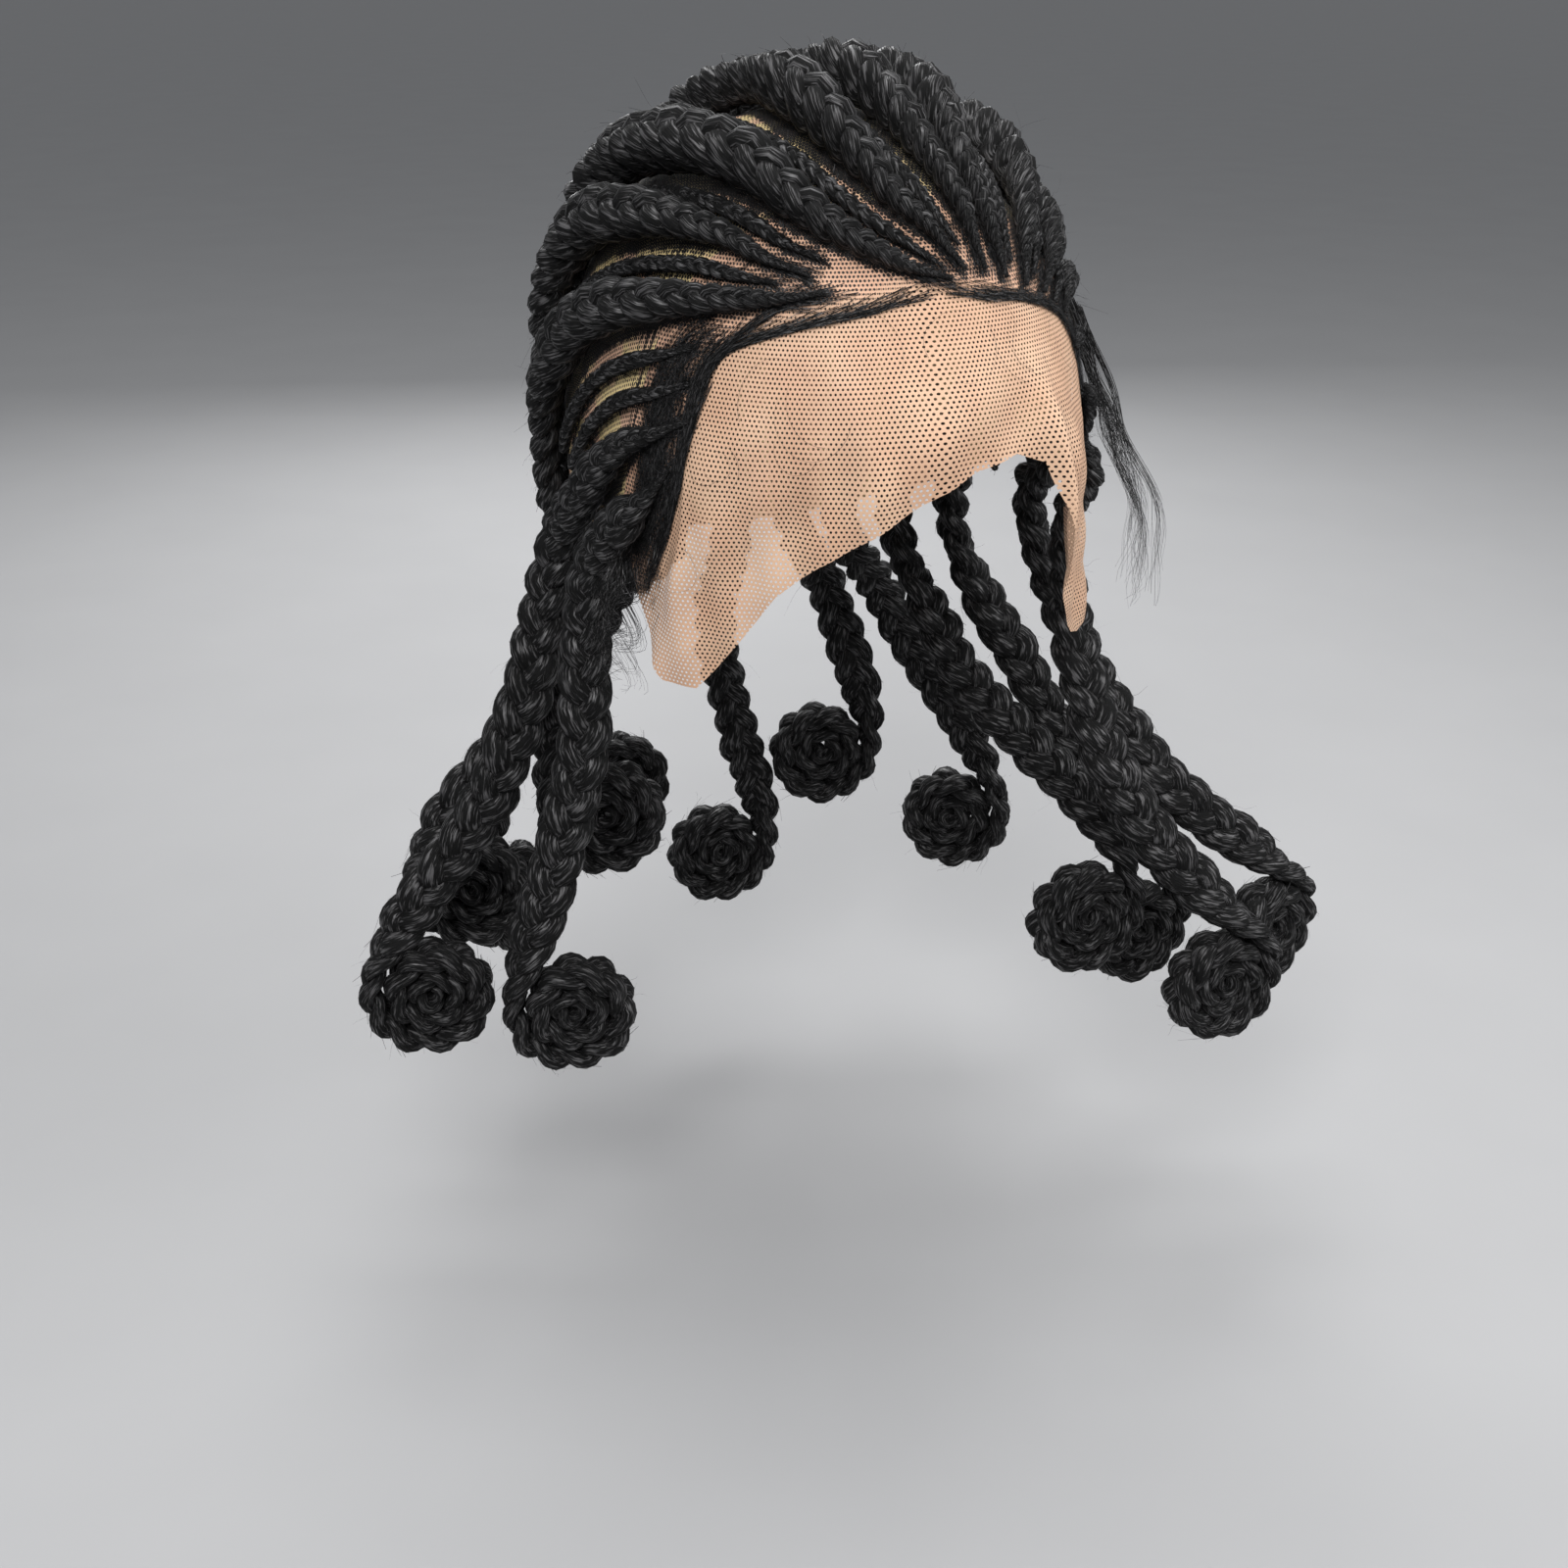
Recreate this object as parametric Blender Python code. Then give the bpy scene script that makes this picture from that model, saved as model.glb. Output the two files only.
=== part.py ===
"""Braid wig: a net cap with a lace front, thick cornrows that hang on as braids and end in coiled
buns, and thin cornrows between them.

Metres, +Z up. The face looks along -Y, so the wearer's left is +X. The origin is where the wig sits:
the inside of the crown. A place on the cap is given by two angles in degrees: round, from the
middle of the forehead towards the wearer's left, and down, from the crown. Beyond 90 degrees down
the cap falls straight from the head's widest ring.
"""
import math

import bmesh
import bpy
import numpy as np
from mathutils import Vector

# Head hollow
HEAD_HALF_WIDTH = 0.0765
HEAD_FRONT_DEPTH = 0.092
HEAD_BACK_DEPTH = 0.098
CROWN_HEIGHT = 0.095
SQUARENESS = 2.35
NAPE_TUCK = 0.20
NAPE_DROP = 0.058
TUCK_STARTS = 95
TUCK_SPREAD = 60

# Cap net and front lace
CAP_WALL = 0.0012
LACE_WALL = 0.0010
SEAM_GAP = 0.00045
LACE_DRAPE = 0.0040
LACE_FREE_FROM = 6
LACE_FREE_SPREAD = 26
LACE_RIPPLE = 0.0020
LACE_RIPPLES_ROUND = 9
LACE_RIPPLE_SLANT = 2
LACE_FOLD = 0.0060
LACE_FOLD_PLACE = 25
LACE_FOLD_SPREAD = 3
CAP_RINGS = 7
LACE_RINGS = 7

# Thick cornrows
ROW_SEAT = 0.0008
ROW_GAP = 0.0010
ROW_START_WIDTH = 0.0044
ROW_FULL_WIDTH = 0.0165
ROW_SIDE_HEIGHT_SHARE = 0.32
ROW_CROWN_HEIGHT_SHARE = 0.56
ROW_GROWTH = 0.080
ROW_GROWTH_SHARE = 0.8
ROW_STEP = 0.014
ROW_ROOM_SHARE = 0.4

# Thin cornrows
THIN_WIDTH = 0.0050
THIN_HEIGHT = 0.0034
THIN_TOP_SHARE = 0.55
THIN_LEAST_SHARE = 0.6
THIN_STEP = 0.012

# Hanging braids
BRAID_WIDTH = 0.0180
BRAID_THICKNESS = 0.0120
BRAID_LUMP = 0.0009
BRAID_STEP = 0.006
SETTLE_SHARE = 0.35
TWIST_LENGTH = 0.035
FLARE = 0.085
HANG_DROP = 0.190

# Coiled buns
BUN_RADIUS = 0.0248
BUN_DEPTH = 0.0170
BUN_PITCH = 0.0080
BUN_CORE = 0.0026
BUN_LUMP = 0.0006
BUN_GROOVE = 0.0020
BUN_GAP = 0.0003
BUN_SIDES = 10

DENSE_STEP = 0.002

# Edges of the front, right to left: round, down at the seam with the cap net, down at the free hem
FRONT_EDGES = (
    (-73, 97, 103),
    (-69, 84, 114),
    (-64, 66, 121),
    (-57, 54, 126),
    (-49, 49, 126),
    (-40, 44, 117),
    (-31, 42, 107),
    (-22, 41, 101),
    (-12, 40, 96),
    (-3, 40, 91),
    (6, 40, 87),
    (15, 40, 85),
    (21, 41, 87),
    (25, 41, 99),
    (29, 42, 110),
    (36, 43, 118),
    (43, 46, 124),
    (50, 50, 126),
    (57, 54, 124),
    (64, 66, 119),
    (69, 84, 113),
    (73, 97, 103),
)

# Rim of the cap net behind the ears on one side: round, down
BACK_RIM = (
    (82, 100),
    (93, 103),
    (105, 109),
    (118, 115),
    (132, 119),
    (147, 122),
    (163, 124),
    (180, 125),
)

# Hairline on the lace: round, down
HAIRLINE = (
    (-66, 112),
    (-59, 95),
    (-54, 80),
    (-52, 70),
    (-40, 63),
    (-21, 59),
    (0, 56),
    (15, 57),
    (30, 60),
    (50, 68),
    (54, 80),
    (59, 95),
    (66, 112),
)

# Thick cornrows, right to left: name, then the places (round, down) that each one passes
ROWS = (
    ("right_sideburn", ((-57, 88), (-62, 93), (-69, 100), (-75, 105))),
    ("right_temple", ((-52, 79), (-60, 82), (-68, 85), (-77, 92), (-85, 100), (-90, 105))),
    ("right_low", (
        (-21, 56.5), (-33, 58), (-47, 59), (-63, 61), (-82, 66), (-95, 77), (-108, 93), (-115, 112))),
    ("right_high", (
        (-25, 53.5), (-37, 51), (-49, 48), (-63, 47), (-79, 48), (-100, 54), (-119, 72), (-131, 117))),
    ("right_crown", (
        (6, 55), (-4, 52), (-14, 48), (-26, 43), (-44, 36), (-73, 33), (-119, 45), (-147, 120))),
    ("back_right", (
        (10, 53.5), (5, 47), (-2, 40), (-10, 31), (-27, 20), (-119, 12), (-157, 40), (-163, 122))),
    ("back_middle", (
        (16, 54), (16, 43), (15, 30), (20, 14), (150, 3), (180, 24), (180, 85), (180, 123))),
    ("back_left", (
        (22, 56), (24, 44), (29, 33), (64, 20), (125, 19), (156, 42), (163, 85), (163, 122))),
    ("left_crown", ((28.5, 58), (36, 51), (59, 42), (88, 36), (117, 42), (138, 65), (147, 120))),
    ("left_high", ((36, 60), (57, 54), (80, 51), (100, 55), (116, 66), (127, 85), (131, 117))),
    ("left_low", ((46, 65), (62, 62), (82, 66), (96, 77), (108, 93), (115, 112))),
    ("left_temple", ((52, 79), (60, 82), (68, 85), (77, 92), (85, 100), (90, 105))),
    ("left_sideburn", ((57, 88), (62, 93), (69, 100), (75, 105))),
)

# Thin cornrows in the strips between thick ones: the thick one on the right, then, as shares of the
# strip, where the thin one runs and how wide it may be
THIN_ROWS = (
    ("right_temple", 0.30, 0.4),
    ("right_temple", 0.72, 0.4),
    ("right_low", 0.5, 1.0),
    ("right_high", 0.5, 1.0),
    ("right_crown", 0.5, 1.0),
    ("back_right", 0.5, 1.0),
    ("back_middle", 0.5, 1.0),
    ("back_left", 0.5, 1.0),
    ("left_crown", 0.5, 1.0),
    ("left_high", 0.5, 1.0),
    ("left_low", 0.5, 0.6),
)

# Hanging lengths and buns. Reach is beyond the head's side, as a share of the flare; back is a share
# of the head's back depth; drop is below the widest ring, as a share of the hang drop. The bun faces
# round the given angle. The braid comes in on its outer side (turn 1) or inner side (turn -1), and
# leans outwards by the given degrees.
HANGS = {
    # name: (side, mid reach, mid back, mid drop, bun reach, bun back, bun drop, bun faces, turn, lean)
    "right_sideburn": (-1, 0.16, -0.20, 0.55, 0.23, -0.22, 1.00, -14, 1, 20),
    "right_temple": (-1, 0.42, 0.00, 0.58, 0.75, 0.00, 0.98, -12, 1, 30),
    "right_low": (-1, 0.16, 0.49, 0.54, 0.48, 0.36, 0.88, -14, 1, 26),
    "right_high": (-1, -0.13, 0.69, 0.47, -0.10, 0.31, 0.76, -20, 1, 0),
    "right_crown": (-1, -0.12, 0.92, 0.52, 0.21, 0.78, 1.03, 210, 1, 20),
    "back_right": (-1, -0.38, 1.04, 0.48, -0.38, 1.02, 0.88, 188, 1, 5),
    "back_middle": (1, -0.90, 1.06, 0.55, -0.90, 1.08, 1.10, 180, 1, 5),
    "back_left": (1, -0.38, 1.04, 0.48, -0.38, 1.02, 0.88, 172, 1, 5),
    "left_crown": (1, -0.12, 0.92, 0.52, 0.21, 0.78, 1.03, 150, 1, 20),
    "left_high": (1, -0.08, 0.41, 0.53, 0.16, -0.41, 0.95, 4, 1, 8),
    "left_low": (1, 0.28, 0.26, 0.62, 0.59, -0.18, 1.08, 8, 1, 20),
    "left_temple": (1, 0.44, -0.46, 0.67, 0.92, -0.62, 0.99, 20, 1, 50),
    "left_sideburn": (1, 0.11, -0.61, 0.61, 0.51, -0.86, 1.00, 4, 1, 52),
}

BLACK_FIBRE = (0.006, 0.006, 0.007)
NET_TAN = (0.62, 0.47, 0.30)
LACE_TAN = (0.75, 0.54, 0.40)
FIBRE_ROUGHNESS = 0.45
NET_ROUGHNESS = 0.8


def signed_power(value, exponent):
    return np.sign(value) * np.abs(value) ** exponent


def unit(vectors):
    return vectors / np.linalg.norm(vectors, axis=-1, keepdims=True)


def ease(value):
    value = np.clip(value, 0.0, 1.0)
    return value * value * (3 - 2 * value)


def cap_surface(around, down):
    """Inside of the cap at the given angles: a squared dome, then a wall that tucks in at the nape."""
    around = np.asarray(around, float)
    down = np.asarray(down, float)
    angle = np.radians(around)
    dome = np.radians(np.minimum(down, 90.0))
    below = np.radians(np.maximum(down - 90.0, 0.0)) * CROWN_HEIGHT
    across = signed_power(np.sin(angle), 2 / SQUARENESS)
    ahead = signed_power(np.cos(angle), 2 / SQUARENESS)
    depth = np.where(ahead > 0, HEAD_FRONT_DEPTH, HEAD_BACK_DEPTH)
    turned_back = np.abs((around + 180) % 360 - 180)
    tuck = NAPE_TUCK * ease((turned_back - TUCK_STARTS) / TUCK_SPREAD) * (below / NAPE_DROP) ** 2
    ring = np.sin(dome) * (1 - tuck)
    height = CROWN_HEIGHT * (np.cos(dome) - 1) - below
    return np.stack([HEAD_HALF_WIDTH * ring * across, -depth * ring * ahead, height], -1)


def cap_normal(around, down):
    """Outward direction on the cap, from the surface half a degree to each side."""
    around = np.asarray(around, float)
    down = np.maximum(np.asarray(down, float), 2.0)
    nudge = 0.5
    along = cap_surface(around, down + nudge) - cap_surface(around, down - nudge)
    aside = cap_surface(around + nudge, down) - cap_surface(around - nudge, down)
    return unit(np.cross(along, aside))


def cap_point(around, down, lift):
    lift = np.asarray(lift, float)[..., None]
    return cap_surface(around, down) + cap_normal(around, down) * lift


def cap_place(points):
    """The angles round and down of points near the cap."""
    depth = np.where(points[:, 1] < 0, HEAD_FRONT_DEPTH, HEAD_BACK_DEPTH)
    across = points[:, 0] / HEAD_HALF_WIDTH
    ahead = -points[:, 1] / depth
    height = 1 + points[:, 2] / CROWN_HEIGHT
    ring = (np.abs(across) ** SQUARENESS + np.abs(ahead) ** SQUARENESS) ** (1 / SQUARENESS)
    ring = np.maximum(ring, 1e-9)
    around = np.arctan2(
        signed_power(across / ring, SQUARENESS / 2),
        signed_power(ahead / ring, SQUARENESS / 2),
    )
    down = np.where(height > 0, np.degrees(np.arctan2(ring, height)), 90 - np.degrees(height))
    return np.degrees(around), down


def smooth_path(points, first_slope=None, last_slope=None):
    """A smooth curve through the points, read every DENSE_STEP."""
    points = np.asarray(points, float)
    chords = np.linalg.norm(np.diff(points, axis=0), axis=1)
    slopes = np.diff(points, axis=0) / chords[:, None]
    before = chords[:-1, None]
    after = chords[1:, None]
    inner = (slopes[1:] * before + slopes[:-1] * after) / (before + after)
    first = slopes[0] if first_slope is None else first_slope
    last = slopes[-1] if last_slope is None else last_slope
    tangents = np.vstack([first, inner, last])
    curve = []
    for index, chord in enumerate(chords):
        share = np.linspace(0, 1, max(3, int(chord / DENSE_STEP)), endpoint=False)[:, None]
        cube = share ** 3
        square = share ** 2
        curve.append(
            (2 * cube - 3 * square + 1) * points[index]
            + (cube - 2 * square + share) * chord * tangents[index]
            + (3 * square - 2 * cube) * points[index + 1]
            + (cube - square) * chord * tangents[index + 1]
        )
    curve.append(points[-1:])
    return np.vstack(curve)


def lengths_along(points):
    steps = np.linalg.norm(np.diff(points, axis=0), axis=1)
    return np.concatenate([[0.0], np.cumsum(steps)])


def read_at(where, lengths, values):
    """Values along a line, read at the given lengths."""
    values = np.asarray(values, float)
    if values.ndim == 1:
        return np.interp(where, lengths, values)
    return np.stack([np.interp(where, lengths, column) for column in values.T], -1)


def directions_along(where, lengths, line):
    return unit(read_at(where + DENSE_STEP, lengths, line) - read_at(where - DENSE_STEP, lengths, line))


def even_lengths(start, end, step):
    return np.linspace(start, end, max(2, round((end - start) / step) + 1))


def nearest_distance(points, others):
    return np.linalg.norm(points[:, None] - others[None], axis=2).min(axis=1)


def row_line(places):
    """Surface line of a cornrow: its angles and its points on the cap."""
    around, down = np.asarray(places, float).T
    around, down = cap_place(smooth_path(cap_surface(around, down)))
    return around, down, cap_surface(around, down)


def row_half_width(surface, neighbours):
    """A cornrow grows from the hairline and shares the room beside it with its neighbours."""
    lengths = lengths_along(surface)
    grown = ease(lengths / min(ROW_GROWTH, ROW_GROWTH_SHARE * lengths[-1]))
    half = (ROW_START_WIDTH + (ROW_FULL_WIDTH - ROW_START_WIDTH) * grown) / 2
    for other in neighbours:
        half = np.minimum(half, ROW_ROOM_SHARE * nearest_distance(surface, other))
    return half


def row_height_share(down):
    """Height of a cornrow to half its width: it stands higher over the crown than at the sides."""
    crownward = np.cos(np.radians(down)).clip(0)
    return 2 * (ROW_SIDE_HEIGHT_SHARE + (ROW_CROWN_HEIGHT_SHARE - ROW_SIDE_HEIGHT_SHARE) * crownward)


def turned(angle):
    """Level direction that faces round the given angle."""
    return np.array([math.sin(math.radians(angle)), -math.cos(math.radians(angle)), 0.0])


def hang_point(side, reach, back, drop):
    return np.array([
        side * (HEAD_HALF_WIDTH + FLARE * reach),
        HEAD_BACK_DEPTH * back,
        -CROWN_HEIGHT - HANG_DROP * drop,
    ])


def bun_frame(name):
    """Centre, facing direction and outer side of a bun, and where and how its braid comes in."""
    side, _, _, _, reach, back, drop, faces, turn, lean = HANGS[name]
    centre = hang_point(side, reach, back, drop)
    facing = turned(faces)
    outer = np.cross(facing, [0.0, 0.0, 1.0])
    outer *= np.sign(outer[0]) * side * turn
    lean = math.radians(lean)
    rise = np.array([0.0, 0.0, 1.0])
    spoke = math.cos(lean) * outer + math.sin(lean) * rise
    inward = math.sin(lean) * outer - math.cos(lean) * rise
    entry = centre + spoke * (BUN_RADIUS - BUN_PITCH / 2 + BUN_GAP) - inward * BUN_GAP
    return centre, facing, spoke, inward, entry


def braid_line(name, line, neighbours):
    """Centre line, outward directions and half sizes of a cornrow with its hanging braid."""
    around, down, surface = line
    half_width = row_half_width(surface, neighbours)
    half_height = half_width * row_height_share(down)
    seated = cap_point(around, down, CAP_WALL + ROW_SEAT + half_height)
    _, facing, spoke, inward, entry = bun_frame(name)
    middle = hang_point(*HANGS[name][:4])
    leaving = unit(seated[-1] - seated[-3])
    hanging = smooth_path([seated[-1], middle, entry], leaving, inward)
    centre = np.vstack([seated, hanging[1:]])
    lengths = lengths_along(centre)
    rim = lengths[len(seated) - 1]
    end = lengths[-1]
    rim_normal = cap_normal(around[-1], down[-1])
    keys = np.array([0, SETTLE_SHARE * (end - rim), (end - rim) - TWIST_LENGTH, end - rim])
    hang_lengths = lengths[len(seated):] - rim
    turning = read_at(hang_lengths, keys, np.array([rim_normal, facing, facing, spoke]))
    outward = np.vstack([cap_normal(around, down), turning])
    width_keys = np.array([half_width[-1], BRAID_WIDTH / 2, BRAID_WIDTH / 2, BUN_DEPTH / 2 - BUN_LUMP])
    thick_keys = np.array([
        half_height[-1], BRAID_THICKNESS / 2, BRAID_THICKNESS / 2, BUN_PITCH / 2 - BUN_LUMP - BUN_GAP,
    ])
    half_width = np.concatenate([half_width, np.interp(hang_lengths, keys, width_keys)])
    half_height = np.concatenate([half_height, np.interp(hang_lengths, keys, thick_keys)])
    return centre, outward, half_width, half_height, lengths, rim


def braid_mesh(name, line, neighbours):
    """Six-sided tube along the braid; below the rim its two edges swell in turn."""
    centre, outward, half_width, half_height, lengths, rim = braid_line(name, line, neighbours)
    on_cap = even_lengths(0, rim, ROW_STEP)
    free = even_lengths(rim, lengths[-1], BRAID_STEP)[1:]
    where = np.concatenate([on_cap, free])
    points = read_at(where, lengths, centre)
    tangents = directions_along(where, lengths, centre)
    tangents[-1] = bun_frame(name)[3]
    normals = read_at(where, lengths, outward)
    normals = unit(normals - tangents * (normals * tangents).sum(1, keepdims=True))
    sides = np.cross(tangents, normals)
    wide = read_at(where, lengths, half_width)[:, None]
    thick = read_at(where, lengths, half_height)[:, None]
    lump = np.zeros((len(where), 1))
    lump[len(on_cap):-2, 0] = [BRAID_LUMP * (-1) ** count for count in range(len(free) - 2)]
    loops = np.stack([
        points + sides * (wide + lump),
        points + sides * wide / 2 + normals * thick,
        points - sides * wide / 2 + normals * thick,
        points - sides * (wide - lump),
        points - sides * wide / 2 - normals * thick,
        points + sides * wide / 2 - normals * thick,
    ], axis=1)
    return tube(loops)


def thin_row_mesh(first, second, first_half, second_half, across, share):
    """Low tube in the strip between two thick cornrows, from where the strip is wide enough."""
    apart = np.linalg.norm(first[2][:, None] - second[2][None], axis=2)
    opposite = apart.argmin(axis=1)
    apart = apart.min(axis=1)
    aside = (second[2][opposite] - first[2]) / apart[:, None]
    strip = apart - first_half - second_half[opposite] - 2 * ROW_GAP
    room = np.minimum(THIN_WIDTH, strip * share) / 2
    start = np.nonzero(room > THIN_LEAST_SHARE * THIN_WIDTH / 2)[0][0]
    middle = first[2] + aside * (first_half + ROW_GAP + strip * across)[:, None]
    around, down = cap_place(middle[start:])
    surface = cap_surface(around, down)
    room = room[start:]
    lengths = lengths_along(surface)
    where = even_lengths(0, lengths[-1], THIN_STEP)
    half = read_at(where, lengths, room)[:, None]
    height = half * 2 * THIN_HEIGHT / THIN_WIDTH
    points = read_at(where, lengths, surface)
    around, down = cap_place(points)
    foot = cap_point(around, down, np.full(len(where), CAP_WALL + ROW_SEAT))
    normals = cap_normal(around, down)
    tangents = directions_along(where, lengths, surface)
    sides = np.cross(tangents, normals)
    loops = np.stack([
        foot + sides * half,
        foot + sides * half * THIN_TOP_SHARE + normals * height,
        foot - sides * half * THIN_TOP_SHARE + normals * height,
        foot - sides * half,
    ], axis=1)
    return tube(loops)


def tube(loops):
    """Closed solid through a row of section loops."""
    sections, around = loops.shape[:2]
    faces = []
    for section in range(sections - 1):
        for corner in range(around):
            here = section * around
            following = (corner + 1) % around
            beyond = here + around
            faces.append((here + corner, here + following, beyond + following, beyond + corner))
    faces.append(tuple(range(around)))
    faces.append(tuple((sections - 1) * around + corner for corner in range(around)))
    return loops.reshape(-1, 3), faces


def bun_mesh(name):
    """Coil of a braid end: a spiral disc, grooved between its turns, stepped where the braid enters."""
    centre, facing, spoke, inward, _ = bun_frame(name)
    count = int(BUN_SIDES * (BUN_RADIUS - BUN_CORE) / BUN_PITCH)
    vertices = []

    def place(turns, radius, forward):
        angle = 2 * math.pi * turns
        outward = math.cos(angle) * spoke + math.sin(angle) * inward
        vertices.append(centre + radius * outward + forward * facing)
        return len(vertices) - 1

    groove, crest = [], []
    for index in range(count + 1):
        turns = index / BUN_SIDES
        radius = BUN_RADIUS - BUN_PITCH * turns
        swell = BUN_LUMP * (-1) ** index
        groove.append(place(turns, radius - BUN_LUMP, BUN_DEPTH / 2 - BUN_GROOVE))
        crest.append(place(turns, radius - min(BUN_PITCH, radius) / 2, BUN_DEPTH / 2 + swell))
    rim, back = [], []
    for index in range(BUN_SIDES + 1):
        turns = index / BUN_SIDES
        radius = BUN_RADIUS - BUN_PITCH * turns
        rim.append(place(turns, radius + BUN_LUMP * (index % 2), 0))
        back.append(place(turns, radius - BUN_GROOVE, -BUN_DEPTH / 2))
    front_middle = place(0, 0, BUN_DEPTH / 2 - BUN_GROOVE)
    back_middle = place(0, 0, -BUN_DEPTH / 2 + BUN_GROOVE)

    inner = groove[BUN_SIDES:] + [front_middle] * BUN_SIDES
    faces = []
    for index in range(count):
        faces.append((groove[index], groove[index + 1], crest[index + 1], crest[index]))
        faces.append(tuple(dict.fromkeys((crest[index], crest[index + 1], inner[index + 1], inner[index]))))
    faces.append((groove[count], crest[count], front_middle))
    for index in range(BUN_SIDES):
        faces.append((groove[index], rim[index], rim[index + 1], groove[index + 1]))
        faces.append((rim[index], back[index], back[index + 1], rim[index + 1]))
        faces.append((back[index], back_middle, back[index + 1]))
    last = BUN_SIDES
    faces.append((crest[0], groove[0], groove[last]))
    faces.append((groove[0], rim[0], rim[last], groove[last]))
    faces.append((rim[0], back[0], back[last], rim[last]))
    faces.append((back[0], back_middle, back[last]))
    return np.array(vertices), faces


def cap_mesh():
    """Sheet of the cap net's inside, from the crown to its edge."""
    edge = [(around, seam) for around, seam, _ in FRONT_EDGES]
    edge += list(BACK_RIM) + [(-around, rim) for around, rim in BACK_RIM[-2::-1]]
    shares = [(ring + 1) / CAP_RINGS for ring in range(CAP_RINGS)]
    vertices = [np.zeros(3)]
    for around, rim in edge:
        vertices += list(cap_surface(around, rim * np.array(shares)))
    faces = []
    for index in range(len(edge)):
        here = 1 + index * CAP_RINGS
        beyond = 1 + (index + 1) % len(edge) * CAP_RINGS
        faces.append((0, here, beyond))
        for ring in range(CAP_RINGS - 1):
            faces.append((here + ring, here + ring + 1, beyond + ring + 1, beyond + ring))
    return np.array(vertices), faces


def lace_top_edge():
    """The seam line moved off the cap net's edge by the seam gap, square to the edge everywhere."""
    around, seam, _ = np.array(FRONT_EDGES, float).T
    points = cap_surface(around, seam)
    tangents = unit(np.gradient(points, axis=0))
    aside = np.cross(cap_normal(around, seam), tangents)
    aside *= -np.sign(aside[len(aside) // 2, 2])
    return cap_place(points + aside * SEAM_GAP)


def lace_lift(around, down):
    """How far the lace stands off: seated to the hairline, then free, with ripples and a fold."""
    hair_around, hair_down = np.array(HAIRLINE, float).T
    beyond = down - np.interp(around, hair_around, hair_down)
    free = ease((beyond - LACE_FREE_FROM) / LACE_FREE_SPREAD)
    ripple = LACE_RIPPLE * np.sin(np.radians(around * LACE_RIPPLES_ROUND + down * LACE_RIPPLE_SLANT))
    fold = LACE_FOLD * np.exp(-((around - LACE_FOLD_PLACE) / LACE_FOLD_SPREAD) ** 2)
    return free * (LACE_DRAPE + ripple + fold)


def lace_mesh():
    """Sheet of the front lace's inside, from the seam to the free hem."""
    top_around, top_down = lace_top_edge()
    vertices = []
    for (around, _, hem), edge_around, edge_down in zip(FRONT_EDGES, top_around, top_down):
        shares = np.linspace(0, 1, LACE_RINGS + 1)
        line_around = edge_around + (around - edge_around) * shares
        line_down = edge_down + (hem - edge_down) * shares
        vertices += list(cap_point(line_around, line_down, lace_lift(line_around, line_down)))
    faces = []
    per_line = LACE_RINGS + 1
    for index in range(len(FRONT_EDGES) - 1):
        for ring in range(LACE_RINGS):
            here = index * per_line + ring
            faces.append((here, here + 1, here + per_line + 1, here + per_line))
    return np.array(vertices), faces


def material(name, colour, roughness):
    made = bpy.data.materials.new(name)
    made.use_nodes = True
    shader = made.node_tree.nodes["Principled BSDF"]
    shader.inputs["Base Color"].default_value = (*colour, 1.0)
    shader.inputs["Roughness"].default_value = roughness
    shader.inputs["Metallic"].default_value = 0.0
    return made


def add_piece(name, geometry, colour, roughness, wig):
    vertices, faces = geometry
    mesh = bpy.data.meshes.new(name)
    mesh.from_pydata([tuple(vertex) for vertex in vertices], [], faces)
    shaped = bmesh.new()
    shaped.from_mesh(mesh)
    bmesh.ops.recalc_face_normals(shaped, faces=shaped.faces)
    shaped.to_mesh(mesh)
    shaped.free()
    mesh.shade_smooth()
    piece = bpy.data.objects.new(name, mesh)
    piece.data.materials.append(material(name, colour, roughness))
    piece.parent = wig
    bpy.context.scene.collection.objects.link(piece)
    return piece


def thicken(piece, wall):
    """Gives a sheet its wall, on the side that faces away from the head."""
    face = piece.data.polygons[len(piece.data.polygons) // 2]
    head_middle = Vector((0.0, 0.0, -CROWN_HEIGHT))
    faces_out = face.normal.dot(face.center - head_middle) > 0
    solidify = piece.modifiers.new("wall", "SOLIDIFY")
    solidify.thickness = wall
    solidify.offset = 1 if faces_out else -1
    solidify.use_rim = True


def main():
    for thing in list(bpy.data.objects):
        bpy.data.objects.remove(thing)
    wig = bpy.data.objects.new("braid_wig", None)
    bpy.context.scene.collection.objects.link(wig)

    thicken(add_piece("cap_net", cap_mesh(), NET_TAN, NET_ROUGHNESS, wig), CAP_WALL)
    thicken(add_piece("front_lace", lace_mesh(), LACE_TAN, NET_ROUGHNESS, wig), LACE_WALL)

    lines = [row_line(places) for _, places in ROWS]
    halves = []
    for index, (name, _) in enumerate(ROWS):
        neighbours = [lines[other][2] for other in (index - 1, index + 1) if 0 <= other < len(lines)]
        halves.append(row_half_width(lines[index][2], neighbours))
        braid = braid_mesh(name, lines[index], neighbours)
        add_piece("braid_" + name, braid, BLACK_FIBRE, FIBRE_ROUGHNESS, wig)
        add_piece("bun_" + name, bun_mesh(name), BLACK_FIBRE, FIBRE_ROUGHNESS, wig)
    names = [name for name, _ in ROWS]
    for count, (name, across, share) in enumerate(THIN_ROWS, 1):
        index = names.index(name)
        pair = lines[index], lines[index + 1], halves[index], halves[index + 1]
        geometry = thin_row_mesh(*pair, across, share)
        add_piece(f"thin_row_{count:02d}", geometry, BLACK_FIBRE, FIBRE_ROUGHNESS, wig)


main()
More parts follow.
